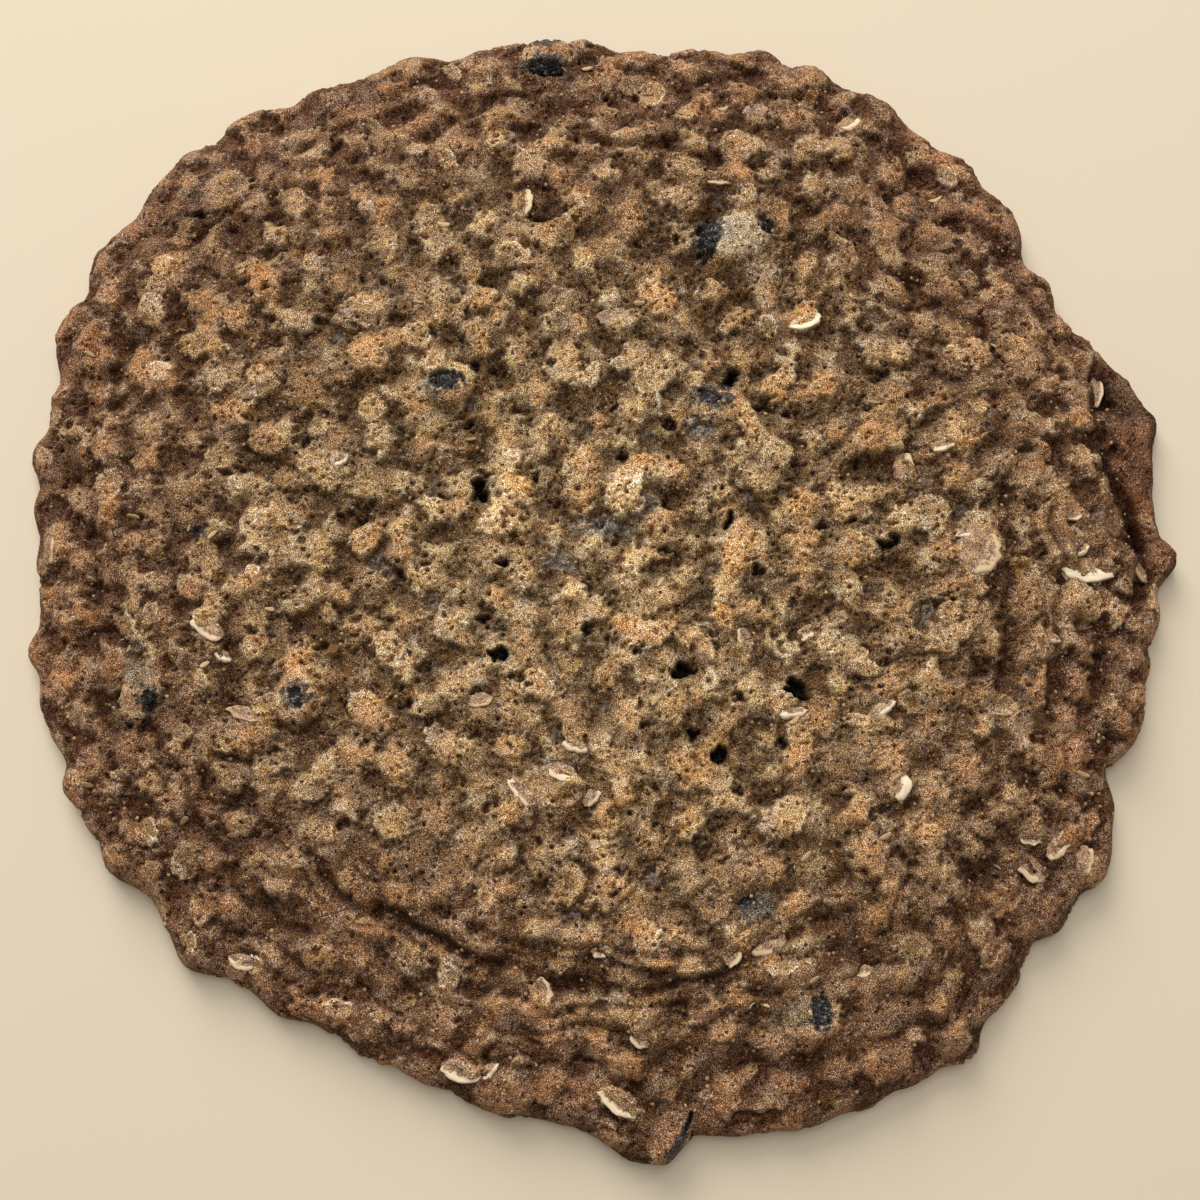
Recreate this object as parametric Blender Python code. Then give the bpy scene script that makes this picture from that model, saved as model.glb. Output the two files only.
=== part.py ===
"""One large, thin oatmeal raisin cookie, lying flat on its baked underside.

The dough is one solid: a wide round slab that has sunk a little in the middle, with a lobed rim,
curved furrows left as it spread, and lumps where oats lie under the dough. Oat flakes that show are
fused to it. Each raisin that shows is a piece of its own, sitting in an open socket.
Lengths in this script are millimetres until the meshes are written, and the part itself is in metres.
"""

import math
import random

import bmesh
import bpy
import numpy as np
from mathutils import Euler, Matrix, Vector
from mathutils.bvhtree import BVHTree

MM = 0.001

# The slab. The rim is the widest level, and the foot below it tucks in to the flat underside.
RADIUS = 78.5
WAIST_HEIGHT = 1.8
RIM_HEIGHT = 5.2
RIM_ROUND = 4.5
RING_HEIGHT = 9.2
RING_RISE = 24.0
CENTRE_SINK = 1.3
CENTRE_WIDTH = 40.0
FOOT_TUCK = 1.5

# The rim's lobes and notches: bearing and half-width in degrees, then how far they stand out.
LOBES = (
    (140, 30, 7.2),
    (118, 8, -0.4),
    (166, 3, -1.4),
    (182, 4, -1.6),
    (196, 6, 1.2),
    (210, 10, 0.8),
    (225, 3, 2.2),
    (234, 4, 1.5),
    (242, 24, -5.0),
    (274, 3, 3.0),
    (278, 2, -1.4),
    (300, 17, 3.0),
    (306, 3, 1.6),
    (328, 4, 2.2),
    (338, 3, -3.0),
    (352, 12, -1.5),
    (0, 3, 3.0),
    (15, 6, 3.2),
    (30, 9, -2.8),
    (45, 7, 1.2),
    (64, 14, 2.4),
    (85, 6, -1.4),
)
SCALLOP_HEIGHT = 0.45

# How the cookie was seen: places below are read as units across and down a square of 1200.
VIEW_TILT = math.radians(78)
VIEW_DISTANCE = 252.0
VIEW_FOCAL = 1800.0
VIEW_MIDDLE = 600.0
VIEW_AIM = -5.0
SEEN_HEIGHT = 8.5

# Furrows: half-width and depth, then the points that each one runs through.
FURROWS = (
    (1.5, 1.3, ((300, 850), (400, 922), (500, 966), (620, 988), (720, 975), (800, 930))),
    (0.9, 0.7, ((430, 905), (520, 942), (620, 957), (700, 950))),
    (0.9, 0.7, ((380, 948), (470, 986), (560, 1006), (680, 1010), (765, 990))),
    (1.2, 1.0, ((1010, 480), (1018, 560), (1012, 620), (1000, 690))),
    (1.4, 1.6, ((1092, 370), (1104, 450), (1110, 520), (1100, 570))),
    (1.2, 1.2, ((1088, 620), (1100, 690), (1108, 755))),
    (1.2, 1.0, ((830, 250), (870, 298), (920, 308), (985, 320))),
    (1.2, 1.0, ((110, 380), (95, 470), (92, 540), (100, 640))),
    (1.2, 1.0, ((450, 120), (500, 103), (560, 90))),
    (1.2, 0.9, ((600, 146), (650, 141), (700, 150))),
    (1.2, 0.9, ((905, 152), (960, 212), (1010, 270), (1045, 332))),
)
RIPPLE_PITCH = 4.6
RIPPLE_HEIGHT = 0.35

# Lumps of dough over oats, on a jittered pattern.
LUMP_PITCH = 5.3
LUMP_JITTER = 0.36
LUMP_LENGTH = (2.3, 4.1)
LUMP_SLIMNESS = (0.58, 0.95)
LUMP_HEIGHT = (0.55, 1.45)
LUMP_FLOOR = -0.55
SWELL_HEIGHT = 0.35

# Raisins that show: across, down, half-length, half-width, half-thickness, turn, how far the middle lies
# below the surface.
RAISINS = (
    (547, 64, 4.4, 3.0, 1.9, 8, 0.7),
    (735, 240, 5.6, 4.0, 2.5, 15, 0.6),
    (712, 402, 5.0, 3.6, 2.2, -5, 1.4),
    (447, 383, 4.6, 3.4, 2.2, 20, 1.5),
    (145, 687, 5.8, 3.3, 2.4, 68, 1.1),
    (295, 697, 4.2, 3.2, 2.1, 80, 1.3),
    (812, 1018, 4.6, 3.4, 2.2, 10, 1.1),
    (668, 1130, 4.2, 2.3, 1.6, 50, 0.5),
    (757, 915, 4.4, 3.1, 2.1, 60, 1.5),
)
SOCKET_GAP = 0.32

# Deep holes in the middle: across, down, half-width and depth.
HOLES = (
    (728, 381, 1.8, 3.6),
    (479, 490, 1.4, 3.0),
    (497, 655, 1.3, 3.0),
    (683, 672, 1.6, 3.2),
    (797, 687, 1.9, 4.0),
    (719, 755, 1.3, 2.8),
    (729, 521, 1.2, 2.6),
    (891, 543, 1.3, 2.6),
)

# Pale oat flakes that stand out: across, down, half-length, half-width, turn, lean of the top edge.
FLAKES = (
    (575, 467, 2.9, 1.8, 88, 6),
    (497, 525, 3.0, 1.6, 8, 14),
    (640, 601, 3.1, 2.0, 0, 10),
    (645, 635, 3.0, 2.0, 4, 12),
    (450, 309, 3.0, 2.3, 80, 8),
    (553, 236, 3.4, 2.3, 12, 10),
    (436, 236, 3.1, 2.4, 110, 12),
    (524, 206, 2.4, 1.2, 75, 20),
    (291, 196, 2.5, 1.4, -15, 14),
    (304, 138, 4.2, 2.6, 25, 6),
    (224, 188, 3.9, 3.1, 30, 8),
    (365, 315, 3.4, 1.9, -20, 12),
    (205, 560, 3.0, 2.1, 100, 10),
    (925, 514, 3.4, 2.6, 10, 8),
    (976, 556, 3.5, 2.9, 60, 16),
    (1093, 567, 3.9, 1.8, 3, 18),
    (1075, 604, 4.2, 3.4, 10, 6),
    (999, 703, 3.0, 1.5, -15, 10),
    (897, 788, 1.9, 1.5, 80, 20),
    (553, 786, 4.4, 2.6, -10, 8),
    (785, 818, 3.1, 2.5, 40, 8),
    (721, 864, 2.9, 2.2, 60, 10),
    (568, 884, 2.9, 2.2, 80, 8),
    (920, 842, 3.2, 2.7, 10, 6),
    (914, 948, 2.4, 1.8, 5, 6),
    (619, 1103, 3.0, 1.6, -35, 20),
    (459, 1073, 2.6, 1.3, -15, 22),
    (541, 993, 1.9, 1.5, 100, 14),
    (184, 784, 2.3, 1.9, 0, 6),
    (184, 860, 2.7, 2.1, 60, 10),
    (851, 114, 2.3, 1.1, 35, 22),
    (852, 189, 2.7, 2.1, 20, 10),
    (804, 327, 2.2, 1.1, 20, 24),
    (1014, 345, 2.3, 2.1, 0, 4),
)
FLAKE_THICKNESS = (0.75, 1.05)
MORE_FLAKES = 16
MORE_FLAKE_LENGTH = (3.3, 1.7)
FLAKE_SEGMENTS = 9
FLAKE_RINGS = 3

GRID_CELLS = 52
SEED = 41


def on_plan(across, down, height):
    """The plan position of a point seen at (across, down) that stands this high."""
    sine, cosine = math.sin(VIEW_TILT), math.cos(VIEW_TILT)
    right, below = across - VIEW_MIDDLE, down - VIEW_MIDDLE
    reach = (VIEW_DISTANCE * sine - height) / (below * cosine + VIEW_FOCAL * sine)
    y = reach * (VIEW_FOCAL * cosine - below * sine) - VIEW_DISTANCE * cosine
    return right * reach, y + VIEW_AIM


def waves(x, y, length, seed, count=16):
    """A smooth, seeded mix of plane waves about this long, spread about 1 either side of zero."""
    draw = random.Random(seed)
    total = np.zeros_like(x)
    for _ in range(count):
        angle = draw.uniform(0, 2 * math.pi)
        number = 2 * math.pi / (length * draw.uniform(0.7, 1.5))
        phase = draw.uniform(0, 2 * math.pi)
        total += np.sin(number * (x * math.cos(angle) + y * math.sin(angle)) + phase)
    return total * math.sqrt(2 / count)


def outline(bearing):
    """The rim's distance from the middle at these bearings, in radians."""
    degrees = np.degrees(bearing)
    reach = np.full_like(degrees, RADIUS)
    for middle, width, extra in LOBES:
        off = (degrees - middle + 180) % 360 - 180
        reach = reach + extra * np.exp(-((off / width) ** 2))
    x, y = np.cos(bearing) * RADIUS, np.sin(bearing) * RADIUS
    return reach + SCALLOP_HEIGHT * waves(x, y, 9.0, SEED + 1)


def smooth(value, low, high):
    step = np.clip((value - low) / (high - low), 0, 1)
    return step * step * (3 - 2 * step)


def furrow_depth(x, y):
    deepest = np.zeros_like(x)
    for width, depth, points in FURROWS:
        run = [on_plan(across, down, SEEN_HEIGHT) for across, down in points]
        near = np.full_like(x, 1e6)
        for (x0, y0), (x1, y1) in zip(run, run[1:]):
            length = (x1 - x0) ** 2 + (y1 - y0) ** 2
            along = np.clip(((x - x0) * (x1 - x0) + (y - y0) * (y1 - y0)) / length, 0, 1)
            near = np.minimum(near, np.hypot(x - x0 - along * (x1 - x0), y - y0 - along * (y1 - y0)))
        deepest = np.maximum(deepest, depth * np.exp(-((near / width) ** 2)))
    return deepest


def lump_places():
    """Every lump as x, y, half-length, half-width, turn and height."""
    draw = random.Random(SEED)
    rows = int(RADIUS * 1.2 / LUMP_PITCH)
    places = []
    for row in range(-rows, rows + 1):
        for column in range(-rows, rows + 1):
            x = (column + 0.5 * (row % 2) + draw.uniform(-LUMP_JITTER, LUMP_JITTER)) * LUMP_PITCH
            y = (row * 0.87 + draw.uniform(-LUMP_JITTER, LUMP_JITTER)) * LUMP_PITCH
            long = draw.uniform(*LUMP_LENGTH)
            wide = long * draw.uniform(*LUMP_SLIMNESS)
            turn = draw.uniform(0, math.pi)
            height = draw.uniform(*LUMP_HEIGHT)
            if math.hypot(x, y) < outline(np.array([math.atan2(y, x)]))[0] - 1.5:
                places.append((x, y, long, wide, turn, height))
    return places


def lump_height(x, y, places):
    """The tallest lump over each point, falling to the floor between them."""
    best = np.full_like(x, LUMP_FLOOR)
    for middle_x, middle_y, long, wide, turn, height in places:
        along = (x - middle_x) * math.cos(turn) + (y - middle_y) * math.sin(turn)
        aside = (y - middle_y) * math.cos(turn) - (x - middle_x) * math.sin(turn)
        share = (along / long) ** 2 + (aside / wide) ** 2
        best = np.maximum(best, height * (1 - 1.25 * share))
    return best


def surface(x, y, places):
    """The height of the top at these points."""
    bearing = np.arctan2(y, x)
    reach = np.hypot(x, y)
    edge = outline(bearing) - reach
    turned = 1 - np.clip(edge / RIM_ROUND, 0, 1)
    height = WAIST_HEIGHT + (RIM_HEIGHT - WAIST_HEIGHT) * np.sqrt(1 - turned**2)
    height += (RING_HEIGHT - RIM_HEIGHT) * smooth(edge, 1.0, RING_RISE)
    height -= CENTRE_SINK * (1 - smooth(reach, 0, CENTRE_WIDTH))
    # A thinner shelf runs along the right side.
    off = (np.degrees(bearing) - 9 + 180) % 360 - 180
    height -= 1.7 * np.exp(-((off / 13) ** 2)) * (1 - smooth(edge, 6.0, 9.0)) * smooth(edge, 0.5, 4.0)
    inner = smooth(edge, 0.5, 4.0)
    height += inner * SWELL_HEIGHT * waves(x, y, 26.0, SEED + 2)
    phase = 2 * math.pi * edge / RIPPLE_PITCH + 1.6 * waves(x, y, 40.0, SEED + 3)
    shown = smooth(edge, 2.0, 6.0) * (1 - smooth(edge, 18.0, 32.0))
    height += RIPPLE_HEIGHT * shown * np.sin(phase)
    height += (0.25 + 0.75 * inner) * lump_height(x, y, places) * smooth(edge, -0.5, 2.5)
    return height - furrow_depth(x, y) * smooth(edge, 0.5, 2.0)


def new_object(name, mesh, collection):
    part = bpy.data.objects.new(name, mesh)
    collection.objects.link(part)
    return part


def build_dough(collection, places):
    """A square grid bent to the cookie's outline and lifted to its surface, with a tucked foot and a flat base."""
    mesh = bpy.data.meshes.new("cookie")
    shape = bmesh.new()
    bmesh.ops.create_grid(shape, x_segments=GRID_CELLS, y_segments=GRID_CELLS, size=1.0)
    flat = np.array([v.co[:2] for v in shape.verts])
    a, b = flat[:, 0], flat[:, 1]
    # A ring of the square becomes a ring of the disc. The outer rings lie closer together.
    ring = np.maximum(np.abs(a), np.abs(b))
    safe = np.where(ring > 0, ring, 1)
    wide = np.abs(a) >= np.abs(b)
    corner = math.pi / 4
    bearing = np.where(
        wide,
        np.where(a < 0, math.pi, 0) + corner * np.where(wide, b / np.where(wide & (a != 0), a, 1), 0),
        np.where(b < 0, -math.pi / 2, math.pi / 2) - corner * np.where(~wide, a / np.where(~wide, b, 1), 0),
    )
    share = ring * (1 + 0.10 * (1 - ring)) if ring.max() <= 1 else ring / safe
    rim = outline(bearing)
    reach = share * rim
    x, y = reach * np.cos(bearing), reach * np.sin(bearing)
    # A grid point near the top of a lump moves onto it, so that the coarse faces keep the lumps.
    tops = np.array([place[:2] for place in places])
    cell = RADIUS * 1.6 / GRID_CELLS
    for top_x, top_y in tops:
        gap = np.hypot(x - top_x, y - top_y)
        nearest = int(np.argmin(gap))
        if gap[nearest] < 0.5 * cell and ring[nearest] < 0.93:
            x[nearest], y[nearest] = top_x, top_y
    z = surface(x, y, places)
    for v, place in zip(shape.verts, np.stack([x, y, z], axis=1)):
        v.co = Vector(place)
    edges = [e for e in shape.edges if e.is_boundary]
    for tuck, level in ((0.45, 0.55), (FOOT_TUCK, 0.0)):
        made = bmesh.ops.extrude_edge_only(shape, edges=edges)["geom"]
        edges = [e for e in made if isinstance(e, bmesh.types.BMEdge) and e.is_boundary]
        for v in [v for v in made if isinstance(v, bmesh.types.BMVert)]:
            bearing_here = math.atan2(v.co.y, v.co.x)
            reach_here = float(outline(np.array([bearing_here]))[0]) - tuck
            v.co = Vector((reach_here * math.cos(bearing_here), reach_here * math.sin(bearing_here), level))
    bmesh.ops.contextual_create(shape, geom=edges)
    split_along_relief(shape, places)
    bmesh.ops.recalc_face_normals(shape, faces=shape.faces)
    shape.to_mesh(mesh)
    shape.free()
    return new_object("cookie", mesh, collection)


def split_along_relief(shape, places):
    """Halves each four-sided face of the top along the diagonal that lies closer to the true surface."""
    quads = [f for f in shape.faces if len(f.verts) == 4 and min(v.co.z for v in f.verts) > 0.6]
    centres = np.array([f.calc_center_median()[:2] for f in quads])
    true = surface(centres[:, 0], centres[:, 1], places)
    for face, height in zip(quads, true):
        a, b, c, d = face.verts
        first = abs((a.co.z + c.co.z) / 2 - height)
        second = abs((b.co.z + d.co.z) / 2 - height)
        bmesh.utils.face_split(face, *((a, c) if first < second else (b, d)))


def middle_of(mesh):
    """The plan middle of the mesh's box, which becomes the origin."""
    corners = np.array([v.co[:] for v in mesh.vertices])
    return (corners[:, :2].min(axis=0) + corners[:, :2].max(axis=0)) / 2


def top_at(tree, x, y):
    """The top of the built dough here, as a point and its normal."""
    point, normal, _, _ = tree.ray_cast(Vector((x, y, 50)), Vector((0, 0, -1)))
    if point is None:
        return Vector((x, y, 3.0)), Vector((0, 0, 1))
    return point, normal


def ellipsoid(name, collection, sizes, place, turn, segments, rings, bend=0.0):
    """A closed lens of these half-sizes. bend curls its ends up."""
    mesh = bpy.data.meshes.new(name)
    shape = bmesh.new()
    bmesh.ops.create_uvsphere(shape, u_segments=segments, v_segments=rings, radius=1.0)
    for v in shape.verts:
        local = Vector((v.co.x * sizes[0], v.co.y * sizes[1], v.co.z * sizes[2]))
        local.z += bend * v.co.x**2
        v.co = turn @ local + Vector(place)
    shape.to_mesh(mesh)
    shape.free()
    return new_object(name, mesh, collection)


def lean_matrix(turn, lean, normal):
    """A turn about the upright, a lean of the long edge, then a tip so that up follows part of the surface's slope."""
    follow = Vector((0, 0, 1)).lerp(normal, 0.5).normalized()
    tip = Vector((0, 0, 1)).rotation_difference(follow).to_matrix()
    return tip @ Euler((math.radians(lean), 0, math.radians(turn)), "XYZ").to_matrix()


def flake_places(lumps):
    """Flakes as x, y, half-length, half-width, turn and lean: those read from the view, then more on free lumps."""
    draw = random.Random(SEED + 7)
    chosen = []
    for across, down, long, wide, turn, lean in FLAKES:
        x, y = on_plan(across, down, SEEN_HEIGHT)
        chosen.append((x, y, long, wide, turn, lean))
    taken = [place[:2] for place in chosen]
    taken += [on_plan(raisin[0], raisin[1], SEEN_HEIGHT) for raisin in RAISINS]
    taken += [on_plan(hole[0], hole[1], SEEN_HEIGHT) for hole in HOLES]
    free = [lump for lump in lumps if math.hypot(lump[0], lump[1]) < RADIUS - 6]
    draw.shuffle(free)
    for number in range(MORE_FLAKES):
        # The next one goes where there is most room, out of a few tries.
        tries = draw.sample(free, 14)
        best = max(tries, key=lambda lump: min(math.dist(lump[:2], spot) for spot in taken))
        first, last = MORE_FLAKE_LENGTH
        long = first + (last - first) * number / MORE_FLAKES
        wide = long * draw.uniform(0.62, 0.85)
        chosen.append((best[0], best[1], long, wide, draw.uniform(0, 180), draw.uniform(2, 16)))
        taken.append(best[:2])
    return chosen


def build_flakes(collection, tree, lumps):
    draw = random.Random(SEED + 9)
    for number, (x, y, long, wide, turn, lean) in enumerate(flake_places(lumps), 1):
        point, normal = top_at(tree, x, y)
        thick = draw.uniform(*FLAKE_THICKNESS)
        matrix = lean_matrix(turn, lean, normal)
        place = (point.x, point.y, point.z + 0.15)
        ellipsoid(f"flake_{number:02d}", collection, (long, wide, thick), place, matrix, FLAKE_SEGMENTS, FLAKE_RINGS)


def raisin_places(tree):
    for across, down, long, wide, thick, turn, sunk in RAISINS:
        x, y = on_plan(across, down, SEEN_HEIGHT if 100 < down < 1100 else 4.0)
        levels = [
            top_at(tree, x + side * 2.0, y + over * 2.0)[0].z for side in (-1, 0, 1) for over in (-1, 0, 1)
        ]
        yield (x, y, float(np.median(levels)) - sunk), (long, wide, thick), turn


def crease(local, sizes, turn):
    """Pulls in the skin along a few shallow folds that run the length of the raisin."""
    around = math.atan2(local.z / sizes[2], local.y / sizes[1])
    along = local.x / sizes[0]
    fold = 0.5 + 0.5 * math.cos(5 * around + 2.2 * along + math.radians(turn))
    return 1 - 0.13 * fold * (1 - along * along)


def build_raisins(collection, cutters, tree):
    for number, (place, sizes, turn) in enumerate(raisin_places(tree), 1):
        matrix = Euler((0, 0, math.radians(turn)), "XYZ").to_matrix()
        name = f"raisin_{number:02d}"
        raisin = ellipsoid(name, collection, sizes, (0, 0, 0), Matrix.Identity(3), 12, 8)
        for v in raisin.data.vertices:
            v.co = matrix @ (v.co * crease(v.co, sizes, turn)) + Vector(place)
        grown = [size + SOCKET_GAP for size in sizes]
        ellipsoid(f"socket_{number:02d}", cutters, grown, place, matrix, 12, 8)


def build_holes(cutters, tree):
    for number, (across, down, wide, depth) in enumerate(HOLES, 1):
        x, y = on_plan(across, down, SEEN_HEIGHT)
        point, _ = top_at(tree, x, y)
        matrix = Euler((0, math.radians(12), math.radians(50 * number)), "XYZ").to_matrix()
        sizes = (wide * 1.15, wide * 0.85, depth)
        ellipsoid(f"hole_{number:02d}", cutters, sizes, point, matrix, 7, 6)


def material(name, colour, roughness):
    made = bpy.data.materials.new(name)
    made.use_nodes = True
    made.diffuse_color = (*colour, 1)
    shader = made.node_tree.nodes["Principled BSDF"]
    shader.inputs["Base Color"].default_value = (*colour, 1)
    shader.inputs["Roughness"].default_value = roughness
    shader.inputs["Metallic"].default_value = 0.0
    return made


def apply_boolean(target, operation, collection, solver):
    """Joins or cuts with a whole collection, keeps the result as the target's mesh and removes the collection's objects."""
    modifier = target.modifiers.new(operation.lower(), "BOOLEAN")
    modifier.operation = operation
    modifier.operand_type = "COLLECTION"
    modifier.collection = collection
    modifier.solver = solver
    bpy.context.view_layer.update()
    graph = bpy.context.evaluated_depsgraph_get()
    result = bpy.data.meshes.new_from_object(target.evaluated_get(graph))
    target.modifiers.remove(modifier)
    target.data = result
    for helper in list(collection.objects):
        bpy.data.objects.remove(helper)


def keep_largest_body(part):
    """Drops a scrap that a cut left loose."""
    shape = bmesh.new()
    shape.from_mesh(part.data)
    left = set(shape.verts)
    bodies = []
    while left:
        body, reach = set(), [left.pop()]
        while reach:
            v = reach.pop()
            body.add(v)
            for e in v.link_edges:
                other = e.other_vert(v)
                if other in left:
                    left.remove(other)
                    reach.append(other)
        bodies.append(body)
    bodies.sort(key=len)
    for body in bodies[:-1]:
        bmesh.ops.delete(shape, geom=list(body), context="VERTS")
    shape.to_mesh(part.data)
    shape.free()


def main():
    for old in list(bpy.data.objects):
        bpy.data.objects.remove(old)
    scene = bpy.context.scene.collection
    whole = bpy.data.collections.new("oatmeal_raisin_cookie")
    joined = bpy.data.collections.new("flakes_to_join")
    cutters = bpy.data.collections.new("sockets_to_cut")
    for collection in (whole, joined, cutters):
        scene.children.link(collection)

    lumps = lump_places()
    dough = build_dough(whole, lumps)
    shape = bmesh.new()
    shape.from_mesh(dough.data)
    tree = BVHTree.FromBMesh(shape)
    shape.free()

    build_flakes(joined, tree, lumps)
    build_raisins(whole, cutters, tree)
    build_holes(cutters, tree)
    apply_boolean(dough, "UNION", joined, "MANIFOLD")
    apply_boolean(dough, "DIFFERENCE", cutters, "MANIFOLD")
    keep_largest_body(dough)
    bpy.data.collections.remove(joined)
    bpy.data.collections.remove(cutters)

    baked = material("baked_dough", (0.262, 0.133, 0.056), 0.85)
    dried = material("raisin_skin", (0.022, 0.014, 0.014), 0.45)
    middle = middle_of(dough.data)
    shift = Matrix.Translation((-middle[0], -middle[1], 0))
    for part in whole.objects:
        part.data.transform(Matrix.Scale(MM, 4) @ shift)
        part.data.materials.clear()
        part.data.materials.append(dried if part.name.startswith("raisin") else baked)
        part.data.update()


main()
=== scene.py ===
# %% [markdown]
# # An oatmeal raisin cookie
#
# This is one large, thin drop cookie. The dough spread into a lobed round, rose, and sank a little in the
# middle, so the rim is smooth, dark and furrowed while the middle is pale, craggy and full of holes.
# Rolled oats make the lumps, and a few raisins show through torn films of dough.
#
# The solids of the part are loaded first. They give the size and the places that everything keeps to.

# %% Load the solids
import math
import random

import bmesh
import bpy
import numpy as np
from mathutils import Euler, Matrix, Vector, noise


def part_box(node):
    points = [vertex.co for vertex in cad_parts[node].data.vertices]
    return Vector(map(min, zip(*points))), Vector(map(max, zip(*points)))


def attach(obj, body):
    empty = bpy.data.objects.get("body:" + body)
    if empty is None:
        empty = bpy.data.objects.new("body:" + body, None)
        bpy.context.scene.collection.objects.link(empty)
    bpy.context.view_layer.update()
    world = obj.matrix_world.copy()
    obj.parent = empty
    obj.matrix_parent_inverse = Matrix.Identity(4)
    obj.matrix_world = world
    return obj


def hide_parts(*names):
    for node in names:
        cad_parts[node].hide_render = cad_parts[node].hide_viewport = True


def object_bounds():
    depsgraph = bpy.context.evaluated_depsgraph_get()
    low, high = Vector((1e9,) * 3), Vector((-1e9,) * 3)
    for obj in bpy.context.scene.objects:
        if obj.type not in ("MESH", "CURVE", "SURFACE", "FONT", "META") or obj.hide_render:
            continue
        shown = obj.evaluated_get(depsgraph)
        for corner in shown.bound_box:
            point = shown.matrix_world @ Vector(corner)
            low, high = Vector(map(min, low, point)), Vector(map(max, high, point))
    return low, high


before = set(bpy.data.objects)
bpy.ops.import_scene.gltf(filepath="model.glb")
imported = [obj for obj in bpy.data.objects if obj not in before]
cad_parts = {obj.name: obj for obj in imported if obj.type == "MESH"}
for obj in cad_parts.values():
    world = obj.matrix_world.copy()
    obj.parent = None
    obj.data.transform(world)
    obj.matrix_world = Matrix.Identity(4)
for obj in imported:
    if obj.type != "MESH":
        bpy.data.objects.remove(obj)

cad_box = [list(corner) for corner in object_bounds()]
print("the solids fill", cad_box)

# %% [markdown]
# ## Where things lie
#
# The cookie was seen from nearly straight above. Places on it are read as units across and down a square
# of 1200, and one function carries them to the plan, in millimetres. It runs the camera's own geometry
# backwards, which keeps a place right for its height as well.

# %% From the view to the plan
MM = 0.001
VIEW_TILT = math.radians(78)
VIEW_DISTANCE = 252.0
VIEW_FOCAL = 1800.0
VIEW_MIDDLE = 600.0
VIEW_AIM = -5.0
SEEN_HEIGHT = 8.5
# The solids are centred on their box, which moves the outline's own middle by this much.
CENTRING = (-0.15, 0.6)


def on_plan(across, down, height=SEEN_HEIGHT):
    """The plan position, in millimetres, of a point seen at (across, down) that stands this high."""
    sine, cosine = math.sin(VIEW_TILT), math.cos(VIEW_TILT)
    right, below = across - VIEW_MIDDLE, down - VIEW_MIDDLE
    reach = (VIEW_DISTANCE * sine - height) / (below * cosine + VIEW_FOCAL * sine)
    y = reach * (VIEW_FOCAL * cosine - below * sine) - VIEW_DISTANCE * cosine
    return right * reach, y + VIEW_AIM


print("the middle of the view lies at", on_plan(600, 600))

# %% [markdown]
# ## The outline
#
# Dough that spreads on a tray never ends in a true circle. A circle with a few named lobes and notches,
# each a soft bump at a bearing, gives the same rim as the solids have. Small scallops come from a mix of
# plane waves, which is smooth and repeats exactly from its seed.

# %% Lobes and scallops of the rim
RADIUS = 78.5
SEED = 41
SCALLOP_HEIGHT = 0.45
LOBES = (
    (140, 30, 7.2), (118, 8, -0.4), (166, 3, -1.4), (182, 4, -1.6), (196, 6, 1.2), (210, 10, 0.8),
    (225, 3, 2.2), (234, 4, 1.5), (242, 24, -5.0), (274, 3, 3.0), (278, 2, -1.4), (300, 17, 3.0),
    (306, 3, 1.6), (328, 4, 2.2), (338, 3, -3.0), (352, 12, -1.5), (0, 3, 3.0), (15, 6, 3.2),
    (30, 9, -2.8), (45, 7, 1.2), (64, 14, 2.4), (85, 6, -1.4),
)


def waves(x, y, length, seed, count=16):
    """A smooth, seeded mix of plane waves about this long, spread about 1 either side of zero."""
    draw = random.Random(seed)
    total = np.zeros_like(x)
    for _ in range(count):
        angle = draw.uniform(0, 2 * math.pi)
        number = 2 * math.pi / (length * draw.uniform(0.7, 1.5))
        phase = draw.uniform(0, 2 * math.pi)
        total += np.sin(number * (x * math.cos(angle) + y * math.sin(angle)) + phase)
    return total * math.sqrt(2 / count)


def outline(bearing):
    """The rim's distance from the middle at these bearings, in radians."""
    degrees = np.degrees(bearing)
    reach = np.full_like(degrees, RADIUS)
    for middle, width, extra in LOBES:
        off = (degrees - middle + 180) % 360 - 180
        reach = reach + extra * np.exp(-((off / width) ** 2))
    x, y = np.cos(bearing) * RADIUS, np.sin(bearing) * RADIUS
    return reach + SCALLOP_HEIGHT * waves(x, y, 9.0, SEED + 1)


ROUND = np.linspace(-math.pi, math.pi, 4097)
RIM = outline(ROUND)


def rim_at(bearing):
    return np.interp(bearing, ROUND, RIM)


print(f"the rim lies {RIM.min():.1f} to {RIM.max():.1f} mm from the middle")

# %% [markdown]
# ## A relief map for the crust
#
# The crust carries lumps of four sizes, furrows, holes and pores. Placing each by hand on a mesh would be
# slow, and a displacement shader would be lost in an export. So the relief is worked out as one height
# map on a fine square grid in numpy, and the mesh reads its heights from that. Seeded noise is shaped by
# wavelength: random numbers are filtered so that only a band of sizes is left.

# %% The map's grid and its noise
PITCH = 0.16
HALF_SIDE = 90.0
COUNT = int(round(2 * HALF_SIDE / PITCH)) + 1
AXIS = np.linspace(-HALF_SIDE, HALF_SIDE, COUNT)
MAP_X, MAP_Y = np.meshgrid(AXIS, AXIS)
FREQUENCY = np.hypot(np.fft.rfftfreq(COUNT, PITCH)[None, :], np.fft.fftfreq(COUNT, PITCH)[:, None])


def grain(shortest, longest, seed):
    """Seeded noise between these wavelengths in millimetres, with a spread of 1."""
    draw = np.random.default_rng(seed)
    spectrum = np.fft.rfft2(draw.standard_normal((COUNT, COUNT)))
    band = np.exp(-((FREQUENCY * shortest) ** 2)) * (1 - np.exp(-((FREQUENCY * longest) ** 2)))
    result = np.fft.irfft2(spectrum * band, s=(COUNT, COUNT))
    return result / result.std()


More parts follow.
